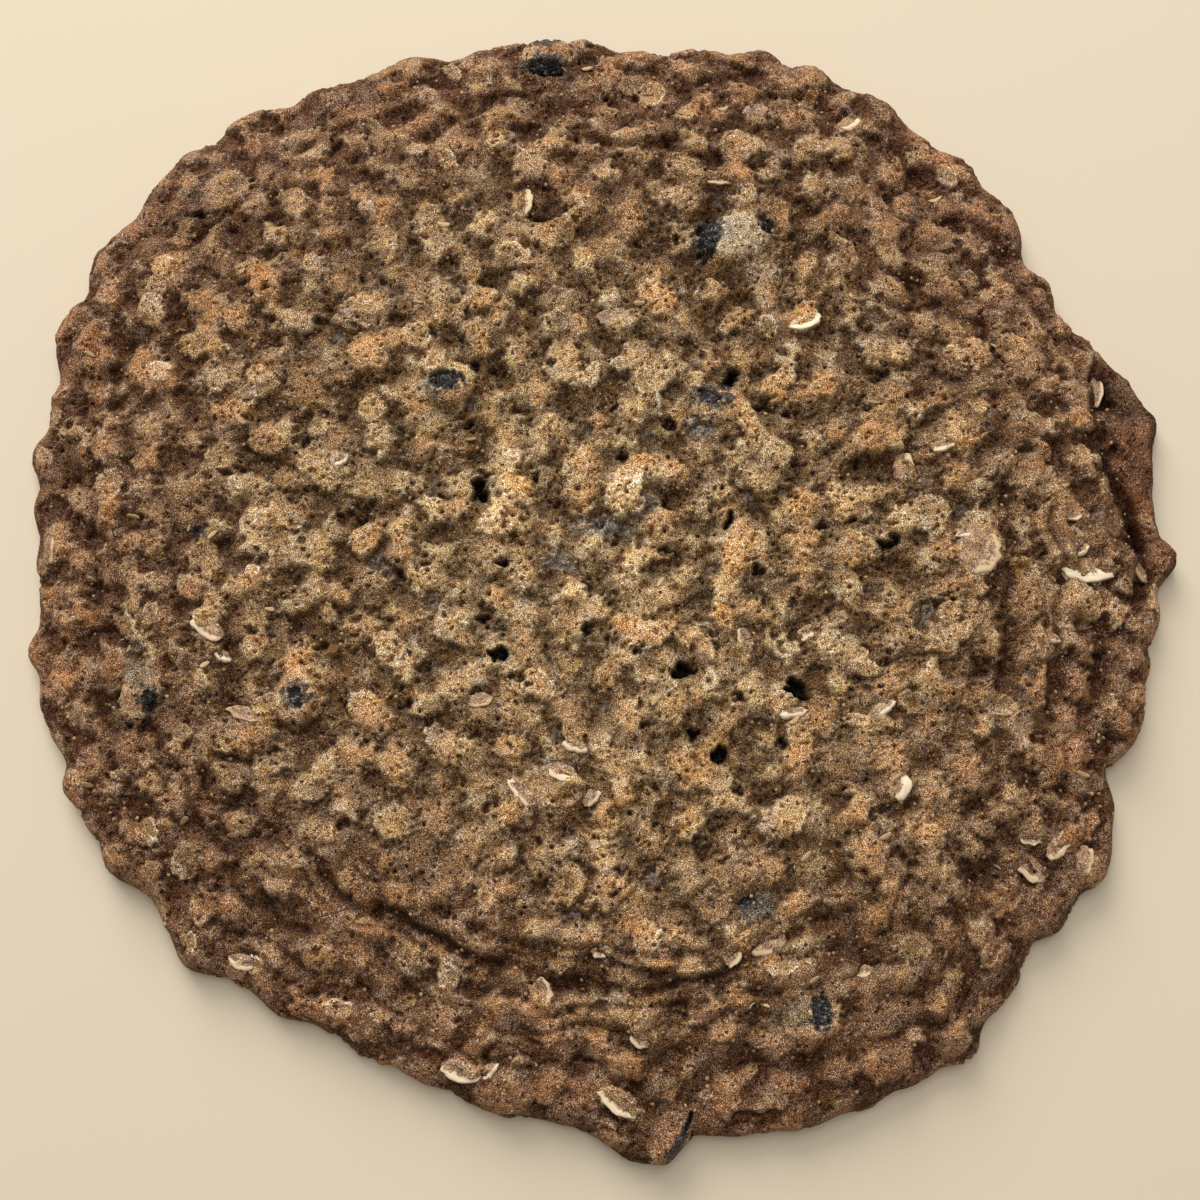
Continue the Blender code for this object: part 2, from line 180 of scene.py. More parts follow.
def blurred(field, width):
    """The field smoothed by a Gaussian of this width in millimetres."""
    spectrum = np.fft.rfft2(field) * np.exp(-2 * (math.pi * FREQUENCY * width) ** 2)
    return np.fft.irfft2(spectrum, s=(COUNT, COUNT))


def sample(field, x, y):
    """The field's value between its grid points."""
    across = np.clip((x + HALF_SIDE) / PITCH, 0, COUNT - 1.001)
    down = np.clip((y + HALF_SIDE) / PITCH, 0, COUNT - 1.001)
    column, row = across.astype(int), down.astype(int)
    u, v = across - column, down - row
    low = field[row, column] * (1 - u) + field[row, column + 1] * u
    high = field[row + 1, column] * (1 - u) + field[row + 1, column + 1] * u
    return low * (1 - v) + high * v


def smooth(value, low, high):
    step = np.clip((value - low) / (high - low), 0, 1)
    return step * step * (3 - 2 * step)


def window(x, y, size):
    """The part of the map within this distance of a point, as a slice pair."""
    column, row = int((x + HALF_SIDE) / PITCH), int((y + HALF_SIDE) / PITCH)
    span = int(size / PITCH) + 2
    return slice(max(row - span, 0), row + span + 1), slice(max(column - span, 0), column + span + 1)


def oval(place, x, y, long, wide, turn):
    """Squared distance from an oval's middle, 1 on its edge, and the signed distance across it."""
    dx, dy = MAP_X[place] - x, MAP_Y[place] - y
    along = (dx * math.cos(turn) + dy * math.sin(turn)) / long
    aside = (dy * math.cos(turn) - dx * math.sin(turn)) / wide
    return along**2 + aside**2, aside


REACH = np.hypot(MAP_X, MAP_Y)
BEARING = np.arctan2(MAP_Y, MAP_X)
print(f"the map has {COUNT} by {COUNT} points, {PITCH} mm apart")

# %% [markdown]
# ## Unrolling the rim
#
# At the rim the crust turns over and falls steeply, so a map drawn from above would stretch every lump
# there. The map is drawn as if the rim were unrolled flat instead. Going outwards it follows the surface,
# over the rounded edge and down the wall, and lumps keep their size all the way to the foot.

# %% From the unrolled map to the cookie
WAIST_HEIGHT = 1.8
RIM_HEIGHT = 5.2
RIM_ROUND = 4.5
ROUND_LENGTH = 6.2


def rolled(reach, rim):
    """The distance in from the rim, seen from above, and how far the surface has turned over."""
    over = reach - (rim - RIM_ROUND)
    turn = np.clip(over / ROUND_LENGTH, 0, 1) * math.pi / 2
    return np.where(over < 0, rim - reach, RIM_ROUND * (1 - np.sin(turn))), turn


INSET = 0.55


def seen_reach(edge, rim):
    """The distance from the middle, seen from above, of the crust before lumps push it about."""
    return rim - edge - INSET * (1 - smooth(edge, 0, 8.0))


EDGE, TURN = rolled(REACH, rim_at(BEARING))
PLAN_X = seen_reach(EDGE, rim_at(BEARING)) * np.cos(BEARING)
PLAN_Y = seen_reach(EDGE, rim_at(BEARING)) * np.sin(BEARING)
MIDDLE = 1 - smooth(REACH, 42.0, 70.0)
print(f"the rounded edge is {ROUND_LENGTH} mm long where it is {RIM_ROUND} mm wide")

# %% [markdown]
# ## The slab under the lumps
#
# The rim rounds over and climbs to a ring, and the middle has sunk. A thinner shelf runs along the right
# side, where the dough ran out over itself. These are the same named sizes as the solids have, so the
# dressed cookie and its solid agree from every side.

# %% Crown of the slab
RING_HEIGHT = 9.2
RING_RISE = 24.0
CENTRE_SINK = 1.3
CENTRE_WIDTH = 40.0
SWELL_HEIGHT = 0.35
RIPPLE_PITCH = 4.6
RIPPLE_HEIGHT = 0.35

crown = WAIST_HEIGHT + (RIM_HEIGHT - WAIST_HEIGHT) * np.cos(TURN)
crown += (RING_HEIGHT - RIM_HEIGHT) * smooth(EDGE, 1.0, RING_RISE)
crown -= CENTRE_SINK * (1 - smooth(REACH, 0, CENTRE_WIDTH))
off_shelf = (np.degrees(BEARING) - 9 + 180) % 360 - 180
shelf = np.exp(-((off_shelf / 13) ** 2)) * (1 - smooth(EDGE, 6.0, 9.0))
crown -= 1.7 * shelf * smooth(EDGE, 0.5, 4.0)
inner = smooth(EDGE, 0.5, 4.0)
crown += inner * SWELL_HEIGHT * waves(MAP_X, MAP_Y, 26.0, SEED + 2)
phase = 2 * math.pi * EDGE / RIPPLE_PITCH + 1.6 * waves(MAP_X, MAP_Y, 40.0, SEED + 3)
rippled = smooth(EDGE, 2.0, 6.0) * (1 - smooth(EDGE, 18.0, 32.0))
crown += RIPPLE_HEIGHT * rippled * np.sin(phase)
print(f"the crown stands {crown[EDGE > 3].max():.1f} mm high")


SLICE = np.linspace(0, HALF_SIDE - 1, 440)


def on_crust(across, down):
    """The plan position of a point seen on the crown, whatever height it has there."""
    x, y = on_plan(across, down)
    for _ in range(3):
        bearing, reach = math.atan2(y, x), math.hypot(x, y)
        rim = float(rim_at(bearing))
        reach = min(reach, rim - 0.3)
        profile = sample(crown, SLICE * math.cos(bearing), SLICE * math.sin(bearing))
        x, y = on_plan(across, down, float(np.interp(reach, SLICE, profile)))
    return x, y

# %% [markdown]
# ## Lumps of oats and dough
#
# Every lump is an oat or a clot of dough under a foamy coat: an oval pillow with a round top and steep
# sides, often tilted so that one side ends in a small step. The largest follow the same seeded pattern as
# the solids, and go on over the rim and down its wall. Smaller ones fill in between. Where two meet, the
# higher one wins, which leaves the narrow creases of the real crust.

# %% Large and small lumps
LUMP_PITCH = 5.3
LUMP_JITTER = 0.36
LUMP_LENGTH = (2.3, 4.1)
LUMP_SLIMNESS = (0.58, 0.95)
LUMP_HEIGHT = (0.55, 1.45)
LUMP_FLOOR = -0.55
WALL_LENGTH = 2.2
SMALL_TRIES = 4400
SMALL_SPREAD = 88.0


def lump_places():
    """Every large lump as x, y, half-length, half-width, turn and height."""
    draw = random.Random(SEED)
    rows = int(RADIUS * 1.2 / LUMP_PITCH)
    places = []
    for row in range(-rows, rows + 1):
        for column in range(-rows, rows + 1):
            x = (column + 0.5 * (row % 2) + draw.uniform(-LUMP_JITTER, LUMP_JITTER)) * LUMP_PITCH
            y = (row * 0.87 + draw.uniform(-LUMP_JITTER, LUMP_JITTER)) * LUMP_PITCH
            long = draw.uniform(*LUMP_LENGTH)
            wide = long * draw.uniform(*LUMP_SLIMNESS)
            turn = draw.uniform(0, math.pi)
            height = draw.uniform(*LUMP_HEIGHT)
            if math.hypot(x, y) < rim_at(math.atan2(y, x)) + ROUND_LENGTH - RIM_ROUND + WALL_LENGTH:
                places.append((x, y, long, wide, turn, height))
    return places


def raise_lump(field, tones, lump, tilt, power, round_off, tone, foot=LUMP_FLOOR):
    x, y, long, wide, turn, height = lump
    place = window(x, y, 1.15 * max(long, wide))
    share, aside = oval(place, x, y, long, wide, turn)
    pillow = np.clip(1 - share**power, 0, 1) ** round_off
    dome = foot + (height - foot) * pillow + tilt * aside * (pillow > 0)
    wins = (share < 1) & (dome > field[place])
    field[place] = np.where(wins, dome, field[place])
    tones[place] = np.where(wins, tone, tones[place])


LUMPS = lump_places()
# The apron of dough that ran out on the right: broad, smooth lumps, in view units and millimetres.
APRON = (
    (1128, 392, 4.6, 3.2, 100, 1.0), (1140, 430, 3.8, 3.0, 60, 0.9), (1132, 478, 3.6, 2.0, 90, 0.3),
    (1142, 512, 3.2, 1.8, 95, 0.2), (1160, 556, 3.6, 2.2, 120, 1.0), (1156, 592, 3.4, 2.0, 60, 0.5),
)
draw = random.Random(SEED + 20)
lumps = np.full((COUNT, COUNT), LUMP_FLOOR)
tones = np.full((COUNT, COUNT), 0.3)
for lump in LUMPS:
    tilt, power, round_off = draw.uniform(-0.45, 0.45), draw.uniform(1.0, 1.7), draw.uniform(0.45, 0.9)
    raise_lump(lumps, tones, lump, tilt, power, round_off, draw.random())
for across, down, long, wide, turn, tall in APRON:
    spot = (*on_plan(across, down, 4.0), long, wide, math.radians(turn), tall)
    raise_lump(lumps, tones, spot, 0.0, 1.0, 0.7, 0.15)
lumps = np.maximum(lumps, -0.22 + 0.30 * grain(2.6, 10.0, SEED + 19))
under = blurred(lumps, 0.5)
small = 0
for _ in range(SMALL_TRIES):
    x, y = draw.uniform(-SMALL_SPREAD, SMALL_SPREAD), draw.uniform(-SMALL_SPREAD, SMALL_SPREAD)
    if math.hypot(x, y) > rim_at(math.atan2(y, x)) + 3.5:
        continue
    long = 0.45 + 1.25 * draw.random() ** 1.6
    here = float(sample(under, x, y))
    wide, turn = long * draw.uniform(0.6, 1.0), draw.uniform(0, math.pi)
    size = (x, y, long, wide, turn, here + 0.8 * long * draw.uniform(0.0, 0.25))
    tilt, power, round_off = draw.uniform(-0.15, 0.15), draw.uniform(0.9, 1.5), draw.uniform(0.5, 0.8)
    raise_lump(lumps, tones, size, tilt, power, round_off, draw.random(), here - 0.20)
    small += 1
wobble_x = grain(1.6, 6.0, SEED + 21)
wobble_y = grain(1.6, 6.0, SEED + 22)
torn_x, torn_y = grain(0.6, 2.0, SEED + 38), grain(0.6, 2.0, SEED + 39)
bent_x = MAP_X + 0.40 * wobble_x + 0.13 * torn_x
bent_y = MAP_Y + 0.40 * wobble_y + 0.13 * torn_y
lumps = blurred(sample(lumps, bent_x, bent_y), 0.11)
nearest = smooth(-np.sin(BEARING + 0.1), 0.45, 0.9)
FLATTENED = smooth(EDGE, 3.0, 8.0) * (1 - smooth(EDGE, 26.0, 42.0)) * nearest
lumps = lumps * (1 - 0.22 * FLATTENED)
tones = blurred(sample(tones, MAP_X + 0.30 * wobble_x, MAP_Y + 0.30 * wobble_y), 0.3)
print(f"{len(LUMPS)} large lumps and {small} small ones")

# %% [markdown]
# ## Oats under the coat
#
# Most oats lie just under the crust and print through it as flat ovals with a crisp edge, paler than the
# dough round them. They are pressed into the same map, so that the foam of the dough runs over them. The
# places follow the solids: some are listed, and a seeded rule spreads the rest where there is room.

# %% Places of the oats
FLAKES = (
    (575, 467, 2.9, 1.8, 88, 6, 0.55), (497, 525, 3.0, 1.6, 8, 14, 0.40),
    (640, 601, 3.1, 2.0, 0, 10, 0.45), (645, 635, 3.0, 2.0, 4, 12, 0.60),
    (450, 309, 3.0, 2.3, 80, 8, 0.45), (553, 236, 3.4, 2.3, 12, 10, 0.35),
    (436, 236, 3.1, 2.4, 110, 12, 0.35), (524, 206, 2.4, 1.2, 75, 20, 0.70),
    (291, 196, 2.5, 1.4, -15, 14, 0.60), (304, 138, 4.2, 2.6, 25, 6, 0.30),
    (224, 188, 3.9, 3.1, 30, 8, 0.25), (365, 315, 3.4, 1.9, -20, 12, 0.60),
    (205, 560, 3.0, 2.1, 100, 10, 0.40), (925, 514, 3.4, 2.6, 10, 8, 0.45),
    (976, 556, 3.5, 2.9, 60, 16, 0.65), (1093, 567, 3.9, 1.8, 3, 18, 1.00),
    (1075, 604, 4.2, 3.4, 10, 6, 0.35), (999, 703, 3.0, 1.5, -15, 10, 0.55),
    (897, 788, 1.9, 1.5, 80, 20, 0.95), (553, 786, 4.4, 2.6, -10, 8, 0.55),
    (785, 818, 3.1, 2.5, 40, 8, 0.60), (721, 864, 2.9, 2.2, 60, 10, 0.40),
    (568, 884, 2.9, 2.2, 80, 8, 0.40), (920, 842, 3.2, 2.7, 10, 6, 0.25),
    (914, 948, 2.4, 1.8, 5, 6, 0.50), (619, 1103, 3.0, 1.6, -35, 20, 0.80),
    (459, 1073, 2.6, 1.3, -15, 22, 0.85), (541, 993, 1.9, 1.5, 100, 14, 0.65),
    (184, 784, 2.3, 1.9, 0, 6, 0.30), (184, 860, 2.7, 2.1, 60, 10, 0.35),
    (851, 114, 2.3, 1.1, 35, 22, 0.80), (852, 189, 2.7, 2.1, 20, 10, 0.35),
    (804, 327, 2.2, 1.1, 20, 24, 1.00), (1014, 345, 2.3, 2.1, 0, 4, 0.30),
)
RAISINS = (
    (547, 64, 4.4, 3.0, 1.9, 8), (735, 240, 5.6, 4.0, 2.5, 15), (712, 402, 5.0, 3.6, 2.2, -5),
    (447, 383, 4.6, 3.4, 2.2, 20), (145, 687, 5.8, 3.3, 2.4, 68), (295, 697, 4.2, 3.2, 2.1, 80),
    (812, 1018, 4.6, 3.4, 2.2, 10), (668, 1130, 4.2, 2.3, 1.6, 50), (757, 915, 4.4, 3.1, 2.1, 60),
)
HOLES = (
    (728, 381, 1.8, 3.6), (479, 490, 1.4, 3.0), (497, 655, 1.3, 3.0), (683, 672, 1.6, 3.2),
    (797, 687, 1.9, 4.0), (719, 755, 1.3, 2.8), (729, 521, 1.2, 2.6), (891, 543, 1.3, 2.6),
    (469, 423, 0.9, 2.0), (502, 562, 0.9, 2.0), (482, 619, 0.8, 1.8), (757, 572, 1.0, 2.2),
    (692, 736, 1.1, 2.4), (670, 425, 0.9, 1.8), (624, 456, 0.9, 1.8), (645, 727, 0.7, 1.6),
    (617, 410, 0.7, 1.6), (655, 505, 0.6, 1.5), (665, 550, 0.7, 1.6), (783, 744, 0.8, 1.8),
    (846, 522, 0.8, 1.8), (227, 474, 0.7, 1.6), (88, 567, 0.6, 1.4), (304, 443, 0.7, 1.6),
    (476, 366, 0.8, 1.8), (197, 212, 1.0, 2.0), (400, 575, 0.8, 1.8), (540, 250, 0.5, 1.4),
    (878, 300, 0.6, 1.5),
)
SOLID_HOLES = 8
MORE_FLAKES = 16
MORE_FLAKE_LENGTH = (3.3, 1.7)
BROKEN_OATS = 300
# Broken oats keep this far from the whole ones, in millimetres.
OAT_ROOM = 4.5


def flake_places():
    """Flakes as x, y, half-length, half-width, turn, lean and paleness."""
    draw = random.Random(SEED + 7)
    chosen = [(*on_plan(across, down), *rest) for across, down, *rest in FLAKES]
    taken = [place[:2] for place in chosen]
    taken += [on_plan(raisin[0], raisin[1]) for raisin in RAISINS]
    taken += [on_plan(hole[0], hole[1]) for hole in HOLES[:SOLID_HOLES]]
    free = [lump for lump in LUMPS if math.hypot(lump[0], lump[1]) < RADIUS - 6]
    draw.shuffle(free)
    for number in range(MORE_FLAKES):
        tries = draw.sample(free, 14)
        best = max(tries, key=lambda lump: min(math.dist(lump[:2], spot) for spot in taken))
        first, last = MORE_FLAKE_LENGTH
        long = first + (last - first) * number / MORE_FLAKES
        wide = long * draw.uniform(0.62, 0.85)
        place = (best[0], best[1], long, wide, draw.uniform(0, 180), draw.uniform(2, 16))
        chosen.append((*place, 0.20 + 0.10 * (number % 3)))
        taken.append(best[:2])
    return chosen


# %% Press the oats into the map
PRESSED = flake_places()
oat = np.zeros((COUNT, COUNT))
oat_rim = np.zeros((COUNT, COUNT))
ragged = grain(0.8, 2.4, SEED + 27)


def press(x, y, long, wide, turn, lean, pale):
    place = window(x, y, 1.2 * long)
    share, aside = oval(place, x, y, long, wide, math.radians(turn))
    share = share + 0.15 * ragged[place] * share
    level = float(np.quantile(lumps[place][share < 1], 0.72))
    cup = 0.10 * share
    crease = 0.10 * np.exp(-((aside / 0.16) ** 2))
    under_it = 0.40 * np.clip(lumps[place] - level, -0.5, 0.4)
    plate = level + 0.22 + 0.30 * aside * math.sin(math.radians(lean)) * wide + cup - crease + under_it
    inside = 1 - smooth(share, 0.90, 1.08)
    lumps[place] = np.where(inside > 0.02, lumps[place] * (1 - inside) + plate * inside, lumps[place])
    oat[place] = np.maximum(oat[place], inside * (0.25 + 0.75 * pale))
    bare_side = smooth(-aside, -0.3, 0.7)
    oat_rim[place] = np.maximum(oat_rim[place], inside * smooth(share, 0.45, 0.85) * bare_side * pale)


draw = random.Random(SEED + 28)
for flake in PRESSED:
    press(*flake)
slight = 0
for _ in range(BROKEN_OATS):
    reach, angle = 80 * math.sqrt(draw.random()), draw.uniform(0, 2 * math.pi)
    x, y = reach * math.cos(angle), reach * math.sin(angle)
    if min(math.dist((x, y), flake[:2]) for flake in PRESSED) < OAT_ROOM:
        continue
    long = draw.uniform(1.1, 2.5)
    wide, turn = long * draw.uniform(0.5, 0.85), draw.uniform(0, 180)
    press(x, y, long, wide, turn, draw.uniform(-24, 24), draw.random() ** 2)
    slight += 1
print(f"{len(PRESSED)} whole oats and {slight} broken ones printed through")

# %% [markdown]
# ## Furrows, foam and pores
#
# The rim slumped as it cooled and wrinkled into long furrows that run round it. Over everything lies fine
# foam. The absolute value of noise gives rounded beads with creases between them, which is what burst
# bubbles leave. Pores are the peaks of other noise, cut off and turned into pits. They are denser in the
# middle, where steam came out.

# %% Furrows
# Width and depth in millimetres, then the run in view units.
FURROWS = (
    (0.7, 1.8, ((300, 850), (345, 895), (400, 926), (500, 966), (560, 984), (640, 992),
                (720, 975), (800, 930))),
    (0.5, 0.9, ((430, 905), (520, 942), (620, 957), (700, 950))),
    (0.5, 0.9, ((380, 948), (470, 986), (560, 1006), (680, 1010), (765, 990))),
    (0.5, 0.8, ((330, 905), (420, 955), (500, 990))),
    (0.5, 0.7, ((520, 1022), (600, 1030), (690, 1034), (760, 1016))),
    (0.5, 0.8, ((250, 800), (290, 862), (350, 930), (420, 985))),
    (0.5, 0.7, ((470, 925), (560, 962), (650, 974), (740, 955))),
    (0.8, 1.3, ((1010, 480), (1018, 560), (1012, 620), (1000, 690))),
    (0.6, 1.0, ((1050, 500), (1062, 560), (1056, 640), (1048, 720))),
    (0.9, 2.6, ((1097, 362), (1102, 407), (1110, 440), (1113, 480), (1125, 503), (1128, 530),
                (1140, 563), (1147, 592))),
    (0.8, 1.4, ((1088, 620), (1100, 690), (1108, 755))),
    (0.8, 1.2, ((830, 250), (870, 298), (920, 308), (985, 320))),
    (0.8, 1.2, ((110, 380), (95, 470), (92, 540), (100, 640))),
    (0.6, 1.0, ((150, 720), (185, 800), (235, 875), (300, 940))),
    (0.8, 1.2, ((450, 120), (500, 103), (560, 90))),
    (0.8, 1.1, ((600, 146), (650, 141), (700, 150))),
    (0.8, 1.1, ((905, 152), (960, 212), (1010, 270), (1045, 332))),
    (0.6, 1.0, ((180, 250), (225, 215), (290, 160), (350, 120))),
)


def furrow_depth(x, y):
    deepest = np.zeros_like(x)
    for width, depth, points in FURROWS:
        run = [on_crust(across, down) for across, down in points]
        near = np.full_like(x, 1e6)
        for (x0, y0), (x1, y1) in zip(run, run[1:]):
            length = (x1 - x0) ** 2 + (y1 - y0) ** 2
            along = np.clip(((x - x0) * (x1 - x0) + (y - y0) * (y1 - y0)) / length, 0, 1)
            near = np.minimum(near, np.hypot(x - x0 - along * (x1 - x0), y - y0 - along * (y1 - y0)))
        notch = 0.7 * np.exp(-((near / width) ** 2)) + 0.3 * np.exp(-((near / (2.5 * width)) ** 2))
        deepest = np.maximum(deepest, depth * notch)
    return deepest


wander_x = MAP_X + 0.55 * grain(8.0, 30.0, SEED + 33) + 0.12 * wobble_x
wander_y = MAP_Y + 0.55 * grain(8.0, 30.0, SEED + 34) + 0.12 * wobble_y
furrows = furrow_depth(wander_x, wander_y) * (0.70 + 0.30 * smooth(grain(5.0, 20.0, SEED + 36), -1.0, 0.3))
trough = np.mod(phase + 0.12 * wobble_x + math.pi / 2 + math.pi, 2 * math.pi) - math.pi
near_side = 0.25 + 0.75 * smooth(-np.sin(BEARING), -0.2, 0.8)
broken = smooth(grain(6.0, 30.0, SEED + 29), -0.5, 0.6)
furrows = np.maximum(furrows, 0.55 * rippled * near_side * broken * np.exp(-((trough / 0.50) ** 2)))

# %% Foam and pores
craggy = smooth(grain(4.0, 14.0, SEED + 37), -0.8, 1.0)
beads = np.abs(grain(1.3, 3.2, SEED + 23)) - 0.8
fine_beads = np.abs(grain(0.6, 1.3, SEED + 24)) - 0.8
pores = np.clip(grain(0.8, 1.8, SEED + 25) - 2.20 + 0.45 * MIDDLE + 0.35 * craggy, 0, 1.1)
fine_pores = np.clip(grain(0.5, 1.0, SEED + 26) - 1.6 + 0.3 * craggy, 0, 1.0)
basins = np.clip(grain(6.0, 16.0, SEED + 35) - 0.1, 0, 2.2)
settled = 0.6 + 0.4 * smooth(EDGE, 6.0, 30.0)
relief = lumps + settled * ((0.04 + 0.09 * craggy) * beads + (0.02 + 0.05 * craggy) * fine_beads)
relief -= 0.42 * basins * smooth(EDGE, 2.0, 8.0) + 0.9 * pores + 0.25 * fine_pores
run = [on_crust(across, down) for across, down in FURROWS[9][2]]
apron = smooth(PLAN_X - np.interp(PLAN_Y, [y for _, y in run][::-1], [x for x, _ in run][::-1]), -0.2, 1.0)
far_end, near_end = run[0][1], run[-1][1]
apron *= smooth(PLAN_Y, near_end - 1.5, near_end + 1.0) * (1 - smooth(PLAN_Y, far_end - 1.0, far_end + 1.5))
relief *= 1 - 0.35 * apron
print(f"relief from {relief[EDGE > 1].min():.2f} to {relief[EDGE > 1].max():.2f} mm")

# %% [markdown]
# ## Holes
#
# Steam left deep, dark holes. The largest are where the solids have them, and smaller ones are listed.
# Each is an oval well with steep sides, read through the same wobble.

# %% Wells of the holes
def dig(field, x, y, wide, depth, turn):
    place = window(x, y, wide * 1.5)
    share, _ = oval(place, x, y, wide * 1.30, wide * 0.76, turn)
    field[place] = np.maximum(field[place], depth * np.sqrt(np.clip(1 - share, 0, 1)))


SMALL_HOLES = 650
# Small holes keep within this many millimetres of the middle.
SMALL_HOLE_REACH = 74.0
# The share of its width seen that a listed hole is dug at.
NAMED_HOLE_SHARE = 0.78

draw = random.Random(SEED + 30)
wells = np.zeros((COUNT, COUNT))
for across, down, wide, depth in HOLES:
    dig(wells, *on_plan(across, down), NAMED_HOLE_SHARE * wide, depth, draw.uniform(0, math.pi))
for _ in range(SMALL_HOLES):
    reach, angle = SMALL_HOLE_REACH * math.sqrt(draw.random()), draw.uniform(0, 2 * math.pi)
    wide = (0.20 + 0.42 * draw.random() ** 2.2) * (1.25 - reach / 150)
    dig(wells, reach * math.cos(angle), reach * math.sin(angle), wide, 2.6 * wide, draw.uniform(0, math.pi))
wells = sample(wells, MAP_X + 0.25 * wobble_x + 0.16 * torn_x, MAP_Y + 0.25 * wobble_y + 0.16 * torn_y)
wells = blurred(wells, 0.08)
print(f"{len(HOLES)} named holes, the deepest {wells.max():.1f} mm")

# %% [markdown]
# ## Where the raisins break the crust
#
# A raisin swells in the oven, lifts the dough over it and tears the film. What shows of each is a dark,
# ragged patch between lumps, with a thin film round it through which the skin shows blue-grey. Only one
# stands up as a dome with a thick pale cap. Each raisin's height comes from its own solid.

# %% Tears and films over the raisins
# Tears that show the skin: place and half-sizes in view units, and turn.
TEARS = (
    (546, 71, 19, 7, 0), (708, 242, 11, 24, -12), (765, 226, 8, 10, 20), (709, 399, 12, 6, -20),
    (447, 381, 15, 9, 0), (152, 702, 6, 11, 10), (117, 696, 3, 14, 10), (298, 699, 6, 11, 25),
    (820, 1012, 9, 15, 0), (686, 1122, 2.5, 10, -30), (670, 1141, 2.5, 13, -42), (748, 903, 8, 5, 20),
)
# Films: place, half-sizes, turn, strength, and how pale they are from blue-black at 0 to dough at 1.
FILMS = (
    (738, 240, 36, 30, 0, 0.75, 1.00), (706, 240, 15, 26, -12, 0.90, 0.05),
    (712, 400, 23, 13, -15, 0.90, 0.10), (446, 384, 21, 13, 0, 0.90, 0.12),
    (140, 668, 14, 30, 15, 0.65, 0.55), (151, 700, 13, 15, 10, 0.90, 0.10),
    (124, 712, 11, 22, 10, 0.50, 0.70), (298, 697, 15, 15, 30, 0.90, 0.10),
    (792, 1016, 24, 17, 0, 0.65, 0.50), (820, 1013, 13, 18, 0, 0.90, 0.08),
    (755, 908, 20, 15, 20, 0.85, 0.18), (546, 68, 25, 12, 0, 0.90, 0.08),
    (546, 50, 14, 7, 0, 0.90, 0.08), (677, 1131, 5, 22, -38, 0.80, 0.10),
    (196, 532, 10, 7, 0, 0.90, 0.10), (1118, 405, 22, 34, 0, 0.45, 0.35),
)
FILM_UNIT = 0.135
# Dough over a covered raisin, how far the crust sinks where a raisin shows, and the highest lump.
COVER = 0.18
SUNK = 0.6
TALLEST = 2.4
offset = relief - furrows * smooth(EDGE, 0.5, 2.0) - wells
film = np.zeros((COUNT, COUNT))
film_pale = np.full((COUNT, COUNT), 0.5)
torn = grain(0.8, 3.0, SEED + 31)


def patch(spot, softness):
    """Where a ragged oval lies on the map: the place, and 1 inside it to 0 outside."""
    across, down, half_across, half_down, turn = spot
    x, y = on_crust(across, down)
    place = window(x, y, max(half_across, half_down) * FILM_UNIT * 1.5 + 4)
    dx, dy = PLAN_X[place] - x, PLAN_Y[place] - y
    spin = math.radians(turn)
    along = (dx * math.cos(spin) + dy * math.sin(spin)) / (half_across * FILM_UNIT)
    aside = (dy * math.cos(spin) - dx * math.sin(spin)) / (half_down * FILM_UNIT)
    return place, 1 - smooth(along**2 + aside**2 + 0.30 * torn[place], 1 - softness, 1 + softness)


tears = np.zeros((COUNT, COUNT))
for spot in TEARS:
    place, inside_it = patch(spot, 0.15)
    tears[place] = np.maximum(tears[place], inside_it)
for *spot, strength, pale in FILMS:
    place, inside_it = patch(spot, 0.55)
    film_pale[place] = film_pale[place] * (1 - inside_it) + pale * inside_it
    film[place] = np.maximum(film[place], strength * inside_it)

RAISIN_SPOTS = []
for number, (across, down, long, wide, thick, turn) in enumerate(RAISINS, 1):
    low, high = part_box(f"raisin_{number:02d}")
    x = (low[0] + high[0]) / 2 / MM - CENTRING[0]
    y = (low[1] + high[1]) / 2 / MM - CENTRING[1]
    level = (low[2] + high[2]) / 2 / MM
    spin = math.radians(turn)
    RAISIN_SPOTS.append((x, y, level, long, wide, thick, spin))
    place = window(x, y, long + 5)
    dx, dy = PLAN_X[place] - x, PLAN_Y[place] - y
    along = (dx * math.cos(spin) + dy * math.sin(spin)) / long
    aside = (dy * math.cos(spin) - dx * math.sin(spin)) / wide
    share = along**2 + aside**2
    top = level + thick * np.sqrt(np.clip(1 - share, 0, 1))
    bare = tears[place] * (share < 1.3)
    plain = offset[place]
    up = np.maximum(np.cos(TURN[place]), 0.3)
    over = (top + COVER - crown[place]) / up + 0.45 * np.maximum(plain + 0.25, 0)
    near = 1 - smooth(share + 0.15 * torn[place], 0.70, 1.15)
    covered = np.maximum(plain, plain * (1 - near) + over * near)
    opened = np.where(share < 1, (top - SUNK - crown[place]) / up, plain - 0.9)
    offset[place] = covered * (1 - bare) + opened * bare
offset = np.minimum(offset, TALLEST)
offset = offset * 0.35 + blurred(offset, 0.10) * 0.65
height = crown + offset
print(f"{len(RAISINS)} raisins, the crust up to {height.max():.1f} mm")
